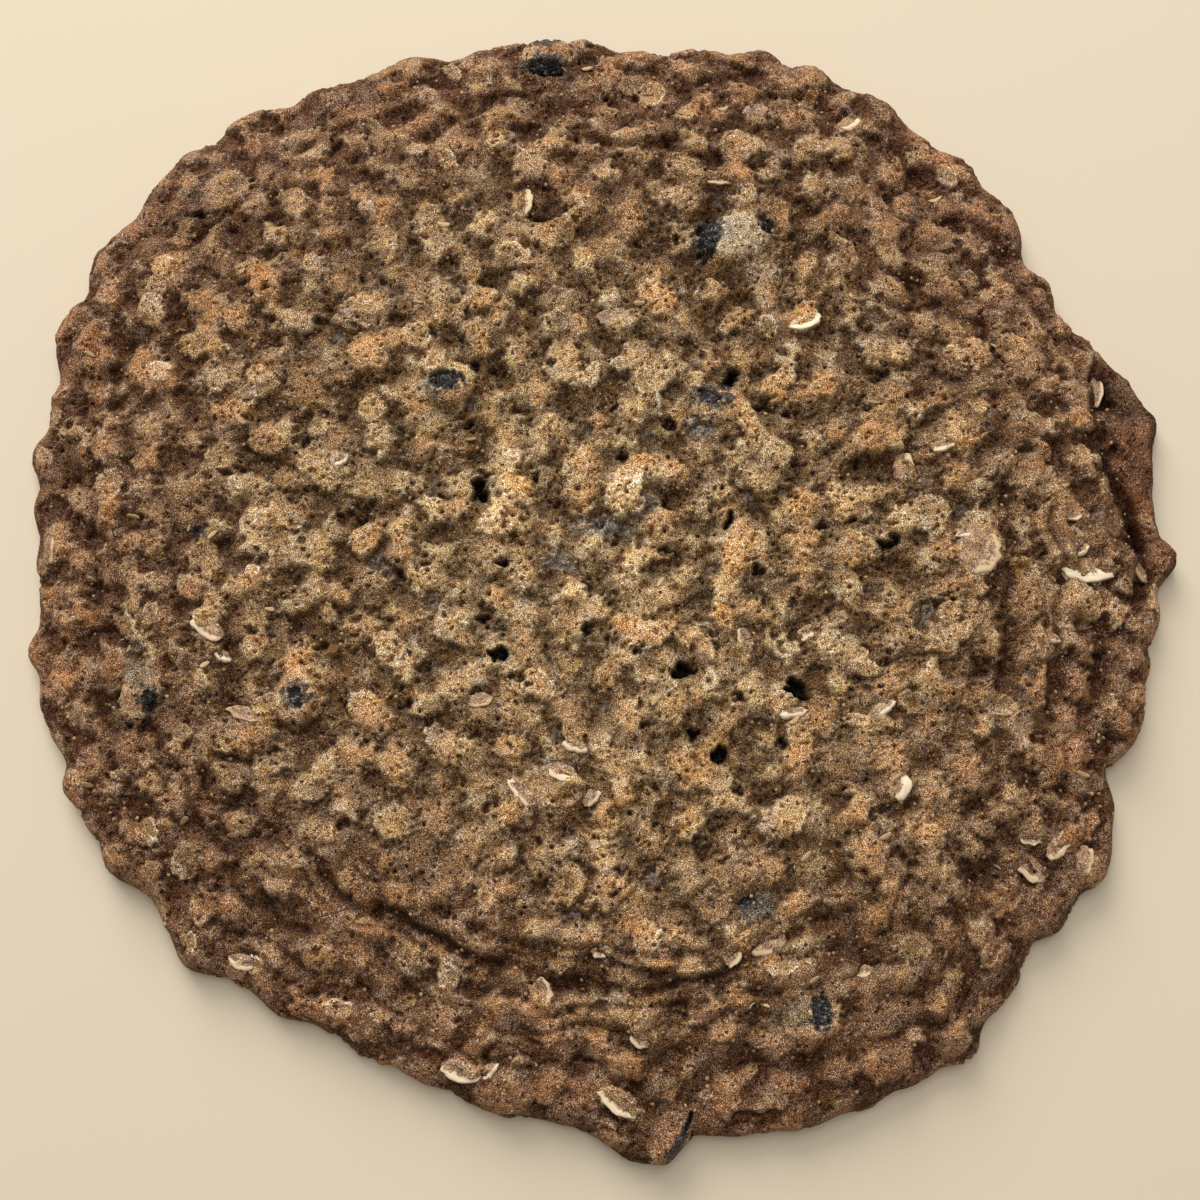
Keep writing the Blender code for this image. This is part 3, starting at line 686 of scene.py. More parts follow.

# %% [markdown]
# ## Masks for the colours
#
# Browning follows the form: bumps brown first. Hollows, holes, pores and creases are darkened as painted
# shade, and tops of lumps lightened as painted light, partly over real differences in the bake. Each
# mask is measured from the finished relief, and goes to the mesh as an attribute that materials can read.

# %% Measure the masks
# Glossy, sunken places in the middle where syrup boiled up: place and half-sizes in view units.
SYRUP = ((601, 525, 34, 13), (640, 505, 22, 16), (560, 560, 18, 10), (700, 425, 18, 12), (430, 392, 16, 10))
LOW = blurred(offset, 2.2)
# The finish reads rise, basin and cavity to darken hollows as painted shade and lighten tops as painted
# light, besides the real browning.
RISE = np.clip((blurred(offset, 0.4) - LOW) / 1.6 + 0.5, 0, 1)
BASIN = np.clip(0.5 + (blurred(offset, 1.4) - blurred(offset, 6.0)) / 1.2, 0, 1)
CAVITY = np.clip((offset - blurred(offset, 0.7)) / 0.8, -1, 1)
FLOOR = 1 - smooth(blurred(lumps, 0.3), -0.45, 0.0)
SHINE = 0.7 * FLOOR * MIDDLE * smooth(grain(8.0, 25.0, SEED + 32), 0.7, 1.5)
for across, down, half_across, half_down in SYRUP:
    x, y = on_plan(across, down)
    place = window(x, y, 8.0)
    share, _ = oval(place, x, y, half_across * FILM_UNIT, half_down * FILM_UNIT, 0.0)
    syrup = (1 - smooth(share + 0.2 * torn[place], 0.6, 1.2)) * (1 - 0.6 * RISE[place])
    SHINE[place] = np.maximum(SHINE[place], syrup)
# Crack marks fine creases, which the finish darkens as painted shade.
CRACK = np.clip((offset - blurred(offset, 0.30)) / 0.22, -1, 1)
# Holes and pores, which the finish paints dark as shade.
PIT = smooth(wells, 0.4, 1.7)
PORE = np.clip(pores + 0.8 * fine_pores, 0, 1)
MASKS = {
    "rise": RISE,
    "basin": BASIN,
    "cavity": CAVITY,
    "crack": CRACK,
    "apron": apron,
    "shine": SHINE,
    "pit": PIT,
    "pore": PORE,
    "tone": tones,
    "film": film,
    "film_pale": film_pale,
    "oat": oat,
    "oat_rim": oat_rim,
}
for name, field in MASKS.items():
    print(f"{name}: {field[EDGE > 1].mean():.2f} on average")

# %% [markdown]
# ## The crust as a mesh
#
# A square grid bent to a round keeps its cells even from the middle to the rim. Eight pieces of it, each
# a closed body that meets its neighbours on flat hidden walls, hold enough faces for the finest relief.
# Near the rim the relief pushes outwards as well as up, so that lumps bulge from the side too.

# %% Meshes and objects
def as_mesh(shape, name):
    """The shape as mesh data, which uses the shape up."""
    mesh = bpy.data.meshes.new(name)
    shape.to_mesh(mesh)
    shape.free()
    return mesh


def in_scene(name, data):
    thing = bpy.data.objects.new(name, data)
    bpy.context.scene.collection.objects.link(thing)
    return thing


def corners(mesh):
    """The mesh's points, a row of x, y and z each."""
    co = np.empty(len(mesh.vertices) * 3, np.float32)
    mesh.vertices.foreach_get("co", co)
    return co.reshape(-1, 3)


# %% Bend a grid to the outline
CELLS = 408
# Points this far out on the grid, or farther, lie on the rim.
ON_RIM = 0.9999
WALL = ((0.0, 1.8), (0.04, 1.4), (0.16, 1.0), (0.42, 0.6), (0.85, 0.28), (1.3, 0.06), (1.7, 0.3))


def bent(a, b):
    """A point of the square from -1 to 1 as its bearing and share of the way to the rim."""
    ring = np.maximum(np.abs(a), np.abs(b))
    wide = np.abs(a) >= np.abs(b)
    corner = math.pi / 4
    upright = np.where(wide, 1.0, b)
    level = np.where(wide & (a != 0), a, 1.0)
    bearing = np.where(
        wide,
        np.where(a < 0, math.pi, 0.0) + corner * np.where(wide, b / level, 0),
        np.where(b < 0, -math.pi / 2, math.pi / 2) - corner * np.where(wide, 0, a / upright),
    )
    bearing = (bearing + math.pi) % (2 * math.pi) - math.pi
    return bearing, ring * (1 + 0.10 * (1 - ring))


# Long stretches of the rim are nearly even, and lumps bulge out between them.
SCALLOPED = 0.30 + 0.80 * smooth(grain(9.0, 30.0, SEED + 40), -0.6, 1.2)
# The bearing of the raisin under the near edge, and how far the dough that wraps it stands out and reaches.
NEAR_RAISIN = math.atan2(*on_plan(670, 1130)[::-1])
WRAP_SWELL = 1.6
WRAP_REACH = 0.034


def crust_points(a, b, step):
    """Where each grid point goes, and where it reads the map: step 0 is the top, others the wall."""
    bearing, share = bent(a, b)
    rim = rim_at(bearing)
    reach = share * (rim - RIM_ROUND + ROUND_LENGTH)
    edge, turn = rolled(reach, rim)
    on_rim = np.maximum(np.abs(a), np.abs(b)) > ON_RIM
    tucks = np.array([tuck for tuck, _ in WALL])[step]
    levels = np.array([level for _, level in WALL])[step]
    reach = reach + np.where(on_rim, WAIST_HEIGHT - levels, 0)
    map_x, map_y = reach * np.cos(bearing), reach * np.sin(bearing)
    push = sample(offset, map_x, map_y)
    swell = np.clip(push, -0.6, 0.95) * smooth(levels, 0.0, 0.7) * sample(SCALLOPED, map_x, map_y)
    flat = seen_reach(edge, rim) + 0.6 * np.sin(turn) * swell
    z = sample(crown, map_x, map_y) + push * np.cos(turn)
    flat = flat + WRAP_SWELL * np.sin(turn) * np.exp(-(((bearing - NEAR_RAISIN) / WRAP_REACH) ** 2))
    flat = flat - np.where(on_rim, tucks, 0)
    down = z + (WALL[-1][1] - z) * step / (len(WALL) - 1)
    z = np.where(step == 0, z, np.where(on_rim, levels, down))
    return flat * np.cos(bearing), flat * np.sin(bearing), z, map_x, map_y


# %% Build the eight pieces of crust
def store(mesh, name, values):
    attribute = mesh.attributes.new(name, "FLOAT", "POINT")
    attribute.data.foreach_set("value", np.ascontiguousarray(values, dtype=np.float32))


# Metres that points keep off the sides of the solids' box.
BOX_MARGIN = 2e-5


def write_points(mesh, x, y, z):
    """Centres the points as the solids are, keeps them in the solids' box and writes them in metres."""
    low, high = np.array(cad_box)
    points = np.stack([x + CENTRING[0], y + CENTRING[1], z], axis=1) * MM
    points = np.clip(points, low + BOX_MARGIN * (low < 0), high - BOX_MARGIN)
    mesh.vertices.foreach_set("co", points.astype(np.float32).ravel())
    mesh.update()


def crust_piece(name, middle_across, middle_down):
    """Half a quarter of the square: 0.5 wide and 1 deep about this middle."""
    shape = bmesh.new()
    step = shape.verts.layers.int.new("step")
    bmesh.ops.create_grid(shape, x_segments=CELLS // 2, y_segments=CELLS, size=0.5)
    bmesh.ops.scale(shape, verts=shape.verts, vec=(0.5, 1, 1))
    bmesh.ops.translate(shape, verts=shape.verts, vec=(middle_across, middle_down, 0))
    edges = [e for e in shape.edges if e.is_boundary]
    for e in edges:
        e.smooth = all(max(abs(v.co.x), abs(v.co.y)) > ON_RIM for v in e.verts)
    for number in range(1, len(WALL)):
        made = bmesh.ops.extrude_edge_only(shape, edges=edges)["geom"]
        edges = [e for e in made if isinstance(e, bmesh.types.BMEdge) and e.is_boundary]
        for v in made:
            if isinstance(v, bmesh.types.BMVert):
                v[step] = number
    bmesh.ops.contextual_create(shape, geom=edges)
    for face in shape.faces:
        face.smooth = True
    mesh = as_mesh(shape, name)
    steps = np.empty(len(mesh.vertices), np.int32)
    mesh.attributes["step"].data.foreach_get("value", steps)
    a, b = np.round(corners(mesh)[:, :2].T.astype(float) * CELLS) / CELLS
    x, y, z, map_x, map_y = crust_points(a, b, steps)
    mesh.attributes.remove(mesh.attributes["step"])
    write_points(mesh, x, y, z)
    for mask, field in MASKS.items():
        store(mesh, mask, sample(field, map_x, map_y))
    store(mesh, "edge", np.clip((rim_at(np.arctan2(y, x)) - np.hypot(x, y)) / RADIUS, 0, 1))
    piece = in_scene(name, mesh)
    outward(mesh)
    return piece


def outward(mesh):
    shape = bmesh.new()
    shape.from_mesh(mesh)
    bmesh.ops.recalc_face_normals(shape, faces=shape.faces)
    shape.to_mesh(mesh)
    shape.free()


CRUST = [
    crust_piece("crust_far_left", -0.75, 0.5),
    crust_piece("crust_far_left_inner", -0.25, 0.5),
    crust_piece("crust_far_right_inner", 0.25, 0.5),
    crust_piece("crust_far_right", 0.75, 0.5),
    crust_piece("crust_near_left", -0.75, -0.5),
    crust_piece("crust_near_left_inner", -0.25, -0.5),
    crust_piece("crust_near_right_inner", 0.25, -0.5),
    crust_piece("crust_near_right", 0.75, -0.5),
]
print("faces of each piece of crust:", [len(piece.data.polygons) for piece in CRUST])

# %% [markdown]
# ## The underside
#
# The underside baked flat on the tray: even, darker, and full of shallow open bubbles where air was
# trapped. It is one thin disc inside the foot of the crust, with its bubbles pressed up into it.

# %% Build the underside
UNDER_CELLS = 150
UNDER_THICKNESS = 0.7
bubbles = np.clip(grain(2.4, 6.0, SEED + 40) - 0.5, 0, 1.2) * 0.22
bubbles += np.clip(grain(0.9, 2.0, SEED + 41) - 1.0, 0, 1.0) * 0.16


def underside():
    shape = bmesh.new()
    step = shape.verts.layers.int.new("step")
    bmesh.ops.create_grid(shape, x_segments=UNDER_CELLS, y_segments=UNDER_CELLS, size=1.0)
    made = bmesh.ops.extrude_edge_only(shape, edges=[e for e in shape.edges if e.is_boundary])["geom"]
    edges = [e for e in made if isinstance(e, bmesh.types.BMEdge) and e.is_boundary]
    for v in made:
        if isinstance(v, bmesh.types.BMVert):
            v[step] = 1
    bmesh.ops.contextual_create(shape, geom=edges)
    for face in shape.faces:
        face.smooth = len(face.verts) == 4
    mesh = as_mesh(shape, "underside")
    steps = np.empty(len(mesh.vertices), np.int32)
    mesh.attributes["step"].data.foreach_get("value", steps)
    bearing, share = bent(*corners(mesh)[:, :2].astype(float).T)
    flat = share * (rim_at(bearing) - INSET - 1.25)
    x, y = flat * np.cos(bearing), flat * np.sin(bearing)
    dents = sample(bubbles, x, y) * smooth(1 - share, 0, 0.03)
    mesh.attributes.remove(mesh.attributes["step"])
    write_points(mesh, x, y, np.where(steps == 1, UNDER_THICKNESS, dents))
    store(mesh, "dent", np.clip(dents / 0.25, 0, 1))
    store(mesh, "edge", 1 - share)
    outward(mesh)
    return in_scene("underside", mesh)


UNDERSIDE = underside()
print("underside faces:", len(UNDERSIDE.data.polygons))

# %% [markdown]
# ## Bare oats that stick out
#
# Some oats stand out of the crust: a rolled oat is a thin oval plate, cupped a little, with a crease down
# its length and a cream edge where the dough has drawn back. Each starts as a low sphere, which is closed
# and even, and is pressed flat, creased and roughened. It leans, so that only its raised side shows. A
# few are the palest of the oats printed above. The others, slips and broken edges, are listed one by one.

# %% Slips of oat listed one by one
SLIPS_SEEN = (
    (716, 179, 2.6, 1.1, -12, 16, 0.60), (755, 112, 2.0, 1.4, 20, 14, 0.50),
    (1098, 388, 2.6, 1.0, 84, 50, 0.70), (943, 446, 2.0, 0.8, 15, 20, 0.80),
    (903, 466, 2.1, 1.4, 75, 18, 0.75), (966, 533, 1.7, 1.0, 10, 22, 0.85),
    (1047, 637, 1.9, 0.8, -20, 24, 0.85), (882, 709, 2.1, 0.9, 32, 26, 0.85),
    (1142, 571, 1.8, 0.7, -60, 22, 0.60), (790, 713, 2.1, 0.8, 6, 22, 0.95),
    (808, 632, 1.5, 1.0, 30, 20, 0.75), (734, 953, 1.9, 1.2, 70, 20, 0.70),
    (766, 942, 2.6, 1.7, 15, 12, 0.65), (1030, 868, 2.7, 1.6, -35, 20, 0.70),
    (1058, 846, 2.2, 1.3, 50, 24, 0.75), (1083, 862, 2.2, 1.3, 80, 20, 0.65),
    (1030, 838, 1.6, 1.0, 0, 20, 0.70), (51, 550, 2.6, 1.0, 86, 26, 0.60),
    (209, 628, 2.6, 1.5, -40, 20, 0.75), (222, 655, 1.3, 0.8, -30, 24, 0.90),
    (245, 714, 2.4, 1.0, -15, 16, 0.55), (242, 962, 1.9, 1.1, -20, 20, 0.80),
    (522, 792, 2.6, 1.3, -50, 22, 0.80), (575, 745, 1.7, 1.1, -25, 18, 0.80),
    (341, 461, 1.2, 0.9, 40, 20, 0.85), (602, 951, 1.5, 0.9, 10, 20, 0.80),
    (640, 1040, 1.4, 1.0, -30, 18, 0.75), (864, 972, 1.6, 1.0, 10, 16, 0.70),
    (645, 1015, 1.3, 0.8, 20, 16, 0.55), (487, 1072, 1.7, 0.8, 40, 34, 0.90),
    (745, 640, 1.9, 1.0, -70, 20, 0.65), (857, 656, 1.6, 0.9, 25, 20, 0.60),
    (612, 318, 2.2, 1.3, 10, 14, 0.45), (480, 700, 1.7, 1.0, 10, 18, 0.55),
    (1082, 549, 1.3, 0.8, 30, 30, 0.85), (1072, 517, 1.2, 0.8, 10, 18, 0.70),
    (562, 772, 1.9, 1.2, -20, 18, 0.80), (592, 796, 1.6, 1.0, 50, 20, 0.72),
)
BARE_FROM = 0.62

# %% Shape of one bare oat
LEVEL = blurred(height, 0.9)
SLOPE_Y, SLOPE_X = np.gradient(blurred(height, 2.0), PITCH)


def bare_oat(shape, layers, x, y, long, wide, turn, lean, pale, draw):
    """Adds one leaning oat to the mesh being built."""
    made = bmesh.ops.create_uvsphere(shape, u_segments=26, v_segments=10, radius=1.0)["verts"]
    thick = draw.uniform(0.38, 0.55)
    slope = Vector((-float(sample(SLOPE_X, x, y)), -float(sample(SLOPE_Y, x, y)), 1.0)).normalized()
    follow = Vector((0, 0, 1)).lerp(slope, 0.6).normalized()
    tip = Vector((0, 0, 1)).rotation_difference(follow).to_matrix()
    matrix = tip @ Euler((math.radians(-0.45 * lean), 0, math.radians(turn)), "XYZ").to_matrix()
    level = float(sample(LEVEL, x, y)) + draw.uniform(-0.34, -0.04)
    cup = draw.uniform(-0.15, 0.40)
    salt = draw.uniform(0, 100)
    for v in made:
        u, w, h = v.co
        around = math.atan2(w, u)
        ragged_edge = noise.noise(Vector((2.2 * math.cos(around), 2.2 * math.sin(around), salt)))
        fine_edge = noise.noise(Vector((6 * math.cos(around), 6 * math.sin(around), salt)))
        out = 1 + 0.26 * ragged_edge + 0.12 * fine_edge
        span = min(math.hypot(u, w), 1.0)
        spread_out = span**0.75 / span if span > 1e-6 else 0
        lift = thick * math.copysign(abs(h) ** 0.6, h)
        crease = 0.16 * math.exp(-((w / 0.16) ** 2)) * (1 - u * u) * (h > 0)
        rough = 0.14 * noise.noise(Vector((u * long * 1.6, w * wide * 1.6, salt + 3 * h)))
        local = Vector((u * long * spread_out * out, w * wide * spread_out * out, lift - crease + rough))
        local.z += cup * (u * u + w * w) - 0.1
        side = 0.5 * noise.noise(Vector((u * 2, w * 2, salt + 9))) - w
        v[layers["along"]] = u * long + salt
        v[layers["aside"]] = w * wide + salt
        v[layers["bare"]] = min(max(0.30 + 0.6 * side + 0.4 * (span - 0.6) + 0.9 * (pale - 0.7), 0), 1)
        v[layers["pale"]] = pale
        v.co = matrix @ local + Vector((x, y, level))


# %% Build the bare oats
def bare_oats(name, places, seed):
    draw = random.Random(seed)
    shape = bmesh.new()
    layers = {key: shape.verts.layers.float.new(key) for key in ("along", "aside", "bare", "pale")}
    for place in places:
        bare_oat(shape, layers, *place, draw)
    for face in shape.faces:
        face.smooth = True
    bmesh.ops.recalc_face_normals(shape, faces=shape.faces)
    mesh = as_mesh(shape, name)
    write_points(mesh, *corners(mesh).T.astype(float))
    return in_scene(name, mesh)


SEEN = [(*on_crust(across, down), *rest) for across, down, *rest in SLIPS_SEEN]
BARE = [flake for flake in PRESSED if flake[-1] >= BARE_FROM] + SEEN
FLAKE_PIECE = bare_oats("oat_flakes", BARE, SEED + 50)
print(len(BARE), "bare oats with", len(FLAKE_PIECE.data.polygons), "faces")

# %% [markdown]
# ## Raisins
#
# A raisin is a dried grape: a plump lens whose skin has fallen into deep folds that run its length, with
# finer wrinkles across. Folds come from a wave round the middle, and wrinkles from ridged noise. It keeps
# the size and place of its solid.

# %% Build the raisins
def raisin(number, spot):
    x, y, level, long, wide, thick, turn = spot
    shape = bmesh.new()
    wrinkle = shape.verts.layers.float.new("wrinkle")
    made = bmesh.ops.create_uvsphere(shape, u_segments=64, v_segments=40, radius=1.0)["verts"]
    spin = Euler((0, 0, turn), "XYZ").to_matrix()
    for v in made:
        u, w, h = v.co
        around = math.atan2(h, w)
        fold = 0.5 + 0.5 * math.cos(5 * around + 2.2 * u + turn)
        bend = noise.noise(Vector((u * 2.2, w * 2.2, h * 2.2 + number)))
        ridge = abs(noise.noise(Vector((u * 3.5 + bend, w * 7.0, h * 7.0 + 3 * number))))
        fine = abs(noise.noise(Vector((u * 11.0, w * 15.0, h * 15.0 + 5 * number))))
        depth = 0.10 * fold * (1 - u * u) + 0.16 * max(0.0, 0.35 - ridge) / 0.35 + 0.05 * (0.4 - fine)
        v[wrinkle] = min(max(depth * 3.5, 0.0), 1.0)
        local = Vector((u * long, w * wide, h * thick)) * (1 - 0.75 * depth)
        v.co = spin @ local + Vector((x, y, level))
    for face in shape.faces:
        face.smooth = True
    name = f"raisin_skin_{number:02d}"
    mesh = as_mesh(shape, name)
    write_points(mesh, *corners(mesh).T.astype(float))
    return in_scene(name, mesh)


RAISIN_PIECES = [raisin(number, spot) for number, spot in enumerate(RAISIN_SPOTS, 1)]
print("raisin faces:", sum(len(piece.data.polygons) for piece in RAISIN_PIECES))

# %% [markdown]
# ## Crumbs and slips of oat
#
# Tiny grains and broken bits of oat cover the crust. They follow its surface, so Geometry Nodes scatter
# them: points spread over a copy of the crust, a small template on each, turned and sized at random, and
# everything realized so that it is plain mesh in the end. Two pieces share the one tree.

# %% The scatter tree
def scatter_tree():
    tree = bpy.data.node_groups.new("scatter_on_crust", "GeometryNodeTree")
    face = tree.interface
    face.new_socket("Geometry", in_out="INPUT", socket_type="NodeSocketGeometry")
    for name, kind in (
        ("Template", "NodeSocketObject"),
        ("Number per square metre", "NodeSocketFloat"),
        ("Smallest", "NodeSocketFloat"),
        ("Largest", "NodeSocketFloat"),
        ("Lean", "NodeSocketFloat"),
        ("Seed", "NodeSocketInt"),
        ("Finish", "NodeSocketMaterial"),
    ):
        face.new_socket(name, in_out="INPUT", socket_type=kind)
    face.new_socket("Geometry", in_out="OUTPUT", socket_type="NodeSocketGeometry")

    def add(kind, settings=None, inputs=None):
        node = tree.nodes.new(kind)
        for key, value in (settings or {}).items():
            setattr(node, key, value)
        for key, value in (inputs or {}).items():
            if isinstance(value, bpy.types.NodeSocket):
                tree.links.new(value, node.inputs[key])
            else:
                node.inputs[key].default_value = value
        return node

    given = add("NodeGroupInput").outputs
    spread = add(
        "GeometryNodeDistributePointsOnFaces",
        {"distribute_method": "RANDOM"},
        {"Mesh": given["Geometry"], "Density": given["Number per square metre"], "Seed": given["Seed"]},
    )
    template = add("GeometryNodeObjectInfo", {}, {"Object": given["Template"]})
    size = add(
        "FunctionNodeRandomValue",
        {"data_type": "FLOAT"},
        {"Min": given["Smallest"], "Max": given["Largest"], "Seed": given["Seed"]},
    )
    spin = add("FunctionNodeRandomValue", {"data_type": "FLOAT"}, {"Min": 0.0, "Max": 6.283, "Seed": 7})
    leaning = add("FunctionNodeRandomValue", {"data_type": "FLOAT"}, {"Min": 0.0, "Seed": 8})
    tree.links.new(given["Lean"], leaning.inputs["Max"])
    angles = add("ShaderNodeCombineXYZ", {}, {"X": leaning.outputs["Value"], "Z": spin.outputs["Value"]})
    turned = add(
        "FunctionNodeRotateEuler",
        {"rotation_type": "EULER", "space": "LOCAL"},
        {"Rotation": spread.outputs["Rotation"], "Rotate By": angles.outputs[0]},
    )
    placed = add(
        "GeometryNodeInstanceOnPoints",
        {},
        {
            "Points": spread.outputs["Points"],
            "Instance": template.outputs["Geometry"],
            "Rotation": turned.outputs[0],
            "Scale": size.outputs["Value"],
        },
    )
    tone = add("FunctionNodeRandomValue", {"data_type": "FLOAT"}, {"Min": 0.0, "Max": 1.0, "Seed": 9})
    toned = add(
        "GeometryNodeStoreNamedAttribute",
        {"data_type": "FLOAT", "domain": "INSTANCE"},
        {"Geometry": placed.outputs["Instances"], "Name": "tone", "Value": tone.outputs["Value"]},
    )
    real = add("GeometryNodeRealizeInstances", {}, {"Geometry": toned.outputs["Geometry"]})
    finish = add(
        "GeometryNodeSetMaterial", {}, {"Geometry": real.outputs["Geometry"], "Material": given["Finish"]}
    )
    result = add("NodeGroupOutput")
    tree.links.new(finish.outputs["Geometry"], result.inputs["Geometry"])
    return tree


SCATTER = scatter_tree()
print("inputs of the tree:", [item.name for item in SCATTER.interface.items_tree])

# %% Templates and the landing surface
def template(name, build):
    """A small closed mesh with its base at its origin, left out of the scene."""
    shape = bmesh.new()
    build(shape)
    for face in shape.faces:
        face.smooth = True
    bmesh.ops.recalc_face_normals(shape, faces=shape.faces)
    return bpy.data.objects.new(name, as_mesh(shape, name))


def grain_of_crust(shape):
    bmesh.ops.create_icosphere(shape, subdivisions=1, radius=1.0)
    for v in shape.verts:
        v.co *= 1 + 0.35 * noise.noise(v.co * 1.7)
        v.co.z *= 0.75


def slip_of_oat(shape):
    bmesh.ops.create_uvsphere(shape, u_segments=8, v_segments=4, radius=1.0)
    for v in shape.verts:
        u, w, h = v.co
        v.co = Vector((u, w * 0.42 + 0.25 * u * u, h * 0.16 + 0.28 * u * u + 0.10))


def landing():
    """A plain copy of the crust's top for things to land on."""
    shape = bmesh.new()
    bmesh.ops.create_grid(shape, x_segments=300, y_segments=300, size=80.0)
    co = np.array([v.co[:2] for v in shape.verts])
    heights = sample(height, co[:, 0], co[:, 1])
    keep = sample(EDGE, co[:, 0], co[:, 1]) > 2.5
    keep &= sample(wells, co[:, 0], co[:, 1]) < 0.4
    for v, level in zip(shape.verts, heights):
        v.co.z = level
    lost = [v for v, kept in zip(list(shape.verts), keep) if not kept]
    bmesh.ops.delete(shape, geom=lost, context="VERTS")
    bmesh.ops.transform(
        shape,
        matrix=Matrix.Scale(MM, 4) @ Matrix.Translation((*CENTRING, 0)),
        verts=shape.verts,
    )
    return as_mesh(shape, "landing")


LANDING = landing()
GRAIN = template("grain_template", grain_of_crust)
SLIP = template("slip_template", slip_of_oat)
print("landing faces:", len(LANDING.polygons))

# %% [markdown]
# ## Shader maths in plain Python
#
# A material's pattern is easier to read as a sum than as a heap of nodes. One small class wraps a socket
# and turns +, -, * and ** into Math nodes. Everything else comes from one method that adds a node.

# %% Wires and finishes
class Wire:
    """An output socket that can be used in sums."""

    def __init__(self, finish, socket):
        self.finish, self.socket = finish, socket

    def join(self, operation, first, second):
        node = self.finish.add("ShaderNodeMath", {"operation": operation}, {0: first, 1: second})
        return Wire(self.finish, node.outputs[0])

    def __add__(self, other):
        return self.join("ADD", self, other)

    def __sub__(self, other):
        return self.join("SUBTRACT", self, other)

    def __rsub__(self, other):
        return self.join("SUBTRACT", other, self)

    def __mul__(self, other):
        return self.join("MULTIPLY", self, other)

    def __pow__(self, other):
        return self.join("POWER", self, other)

    def at_most(self, other):
        return self.join("MINIMUM", self, other)

    def at_least(self, other):
        return self.join("MAXIMUM", self, other)

    __radd__ = __add__
    __rmul__ = __mul__


class Finish:
    """A material and its nodes."""

    def __init__(self, name):
        self.material = bpy.data.materials.new(name)
        self.material.use_nodes = True
        self.tree = self.material.node_tree
        self.shader = self.tree.nodes["Principled BSDF"]
        self.place = self.add("ShaderNodeTexCoord").outputs["Object"]

    def add(self, kind, settings=None, inputs=None):
        node = self.tree.nodes.new(kind)
        for key, value in (settings or {}).items():
            setattr(node, key, value)
        for key, value in (inputs or {}).items():
            self.feed(node.inputs[key], value)
        return node

    def feed(self, socket, value):
        if isinstance(value, Wire):
            value = value.socket
        if isinstance(value, bpy.types.NodeSocket):
            self.tree.links.new(value, socket)
        else:
            socket.default_value = value

    def mask(self, name):
        node = self.add("ShaderNodeAttribute", {"attribute_name": name})
        return Wire(self, node.outputs["Fac"])

    def speckle(self, size, detail=2.0, roughness=0.5, place=None):
        """Noise with features about this many millimetres wide."""
        inputs = {"Vector": place or self.place, "Scale": 1000 / size}
        inputs.update({"Detail": detail, "Roughness": roughness})
        return Wire(self, self.add("ShaderNodeTexNoise", {}, inputs).outputs["Fac"])

    def between(self, value, low, high):
        """0 below low, 1 above high, and a soft step between."""
        inputs = {"Value": value, "From Min": low, "From Max": high}
        node = self.add("ShaderNodeMapRange", {"interpolation_type": "SMOOTHSTEP"}, inputs)
        return Wire(self, node.outputs["Result"])

    def mix(self, share, first, second, blend="MIX"):
        node = self.add(
            "ShaderNodeMix", {"data_type": "RGBA", "blend_type": blend}, {0: share, 6: first, 7: second}
        )
        return node.outputs[2]

    def lit(self, base, light, drift=0.0):
        """Base times a light value that turns it deep and warm where it falls and pale where it rises."""
        channels = {0: light * (1 + 0.55 * drift), 1: light**1.34, 2: light**2.00 * (1 - 1.5 * drift)}
        return self.mix(1.0, base, self.add("ShaderNodeCombineColor", {}, channels).outputs[0], "MULTIPLY")

    def grey(self, value):
        node = self.add("ShaderNodeCombineColor", {}, {0: value, 1: value, 2: value})
        return node.outputs[0]

    def bump(self, value, distance, strength):
        inputs = {"Height": value, "Distance": distance * MM, "Strength": strength}
        return self.add("ShaderNodeBump", {}, inputs).outputs["Normal"]


def colour(red, green, blue):
    """A colour as seen on a screen, 0 to 255, as the linear numbers that shaders take."""
    channels = [value / 255 for value in (red, green, blue)]
    linear = [c / 12.92 if c <= 0.04045 else ((c + 0.055) / 1.055) ** 2.4 for c in channels]
    return (*linear, 1.0)


# %% [markdown]
# ## The baked crust
#
# The middle baked to a golden tan and the rim to a dark, reddish brown. Hollows are darker, partly in
# their colour and partly as painted shade. Tops of lumps are toasted orange-brown, with pale tips that are
# partly a painted highlight, flat floors between them are greyer, partly a painted sheen, and have a faint
# real shine, and a fine speckle of sugar and bran covers everything, with painted glints among the sugar
# and painted shade in its pores. Mixing along the masks follows the form, which a single noise pattern
# could not.

# %% Finish of the crust
# The base of the power that turns an even swing of noise into light and dark grains.
GROWTH = 2.718


def speckled(f, base, strength, lift, shade=1.0):
    """Sugar, bran and micro-pores: fine light and dark grains over any base colour, in drifting hues. The
    pale grains are partly painted glints, the dark dots painted shade in pores, and shade brings in painted
    shade from outside.
    """
    fine, dust = f.speckle(0.14, 1.0, 0.5), f.speckle(0.50, 2.0, 0.6)
    swing = (fine - 0.5) * (5.0 * strength) + (dust - 0.5) * (0.6 * strength)
    light = Wire(f, f.add("ShaderNodeMath", {"operation": "POWER"}, {0: GROWTH, 1: swing}).outputs[0])
    # Dark dots: painted shade of micro-pores, which have no relief of their own.
    pore_dot_shade = f.between(f.speckle(0.62, 2.0, 0.5), 0.61, 0.645)
    light = light * 0.77 * (1 - 0.75 * strength * pore_dot_shade) * shade
    drift = f.speckle(3.0, 4.0, 0.7) - 0.5
    # Pale grains: sugar, and painted glints of light among it.
    sugar_and_glints = f.between(fine + (dust - 0.5) * 0.35, 0.55, 0.73) * (0.40 * strength * lift)
    pale = f.mix(0.72, base, colour(238, 238, 238))
    return f.mix(sugar_and_glints, f.lit(base, light.at_most(2.2), drift), pale), fine, dust


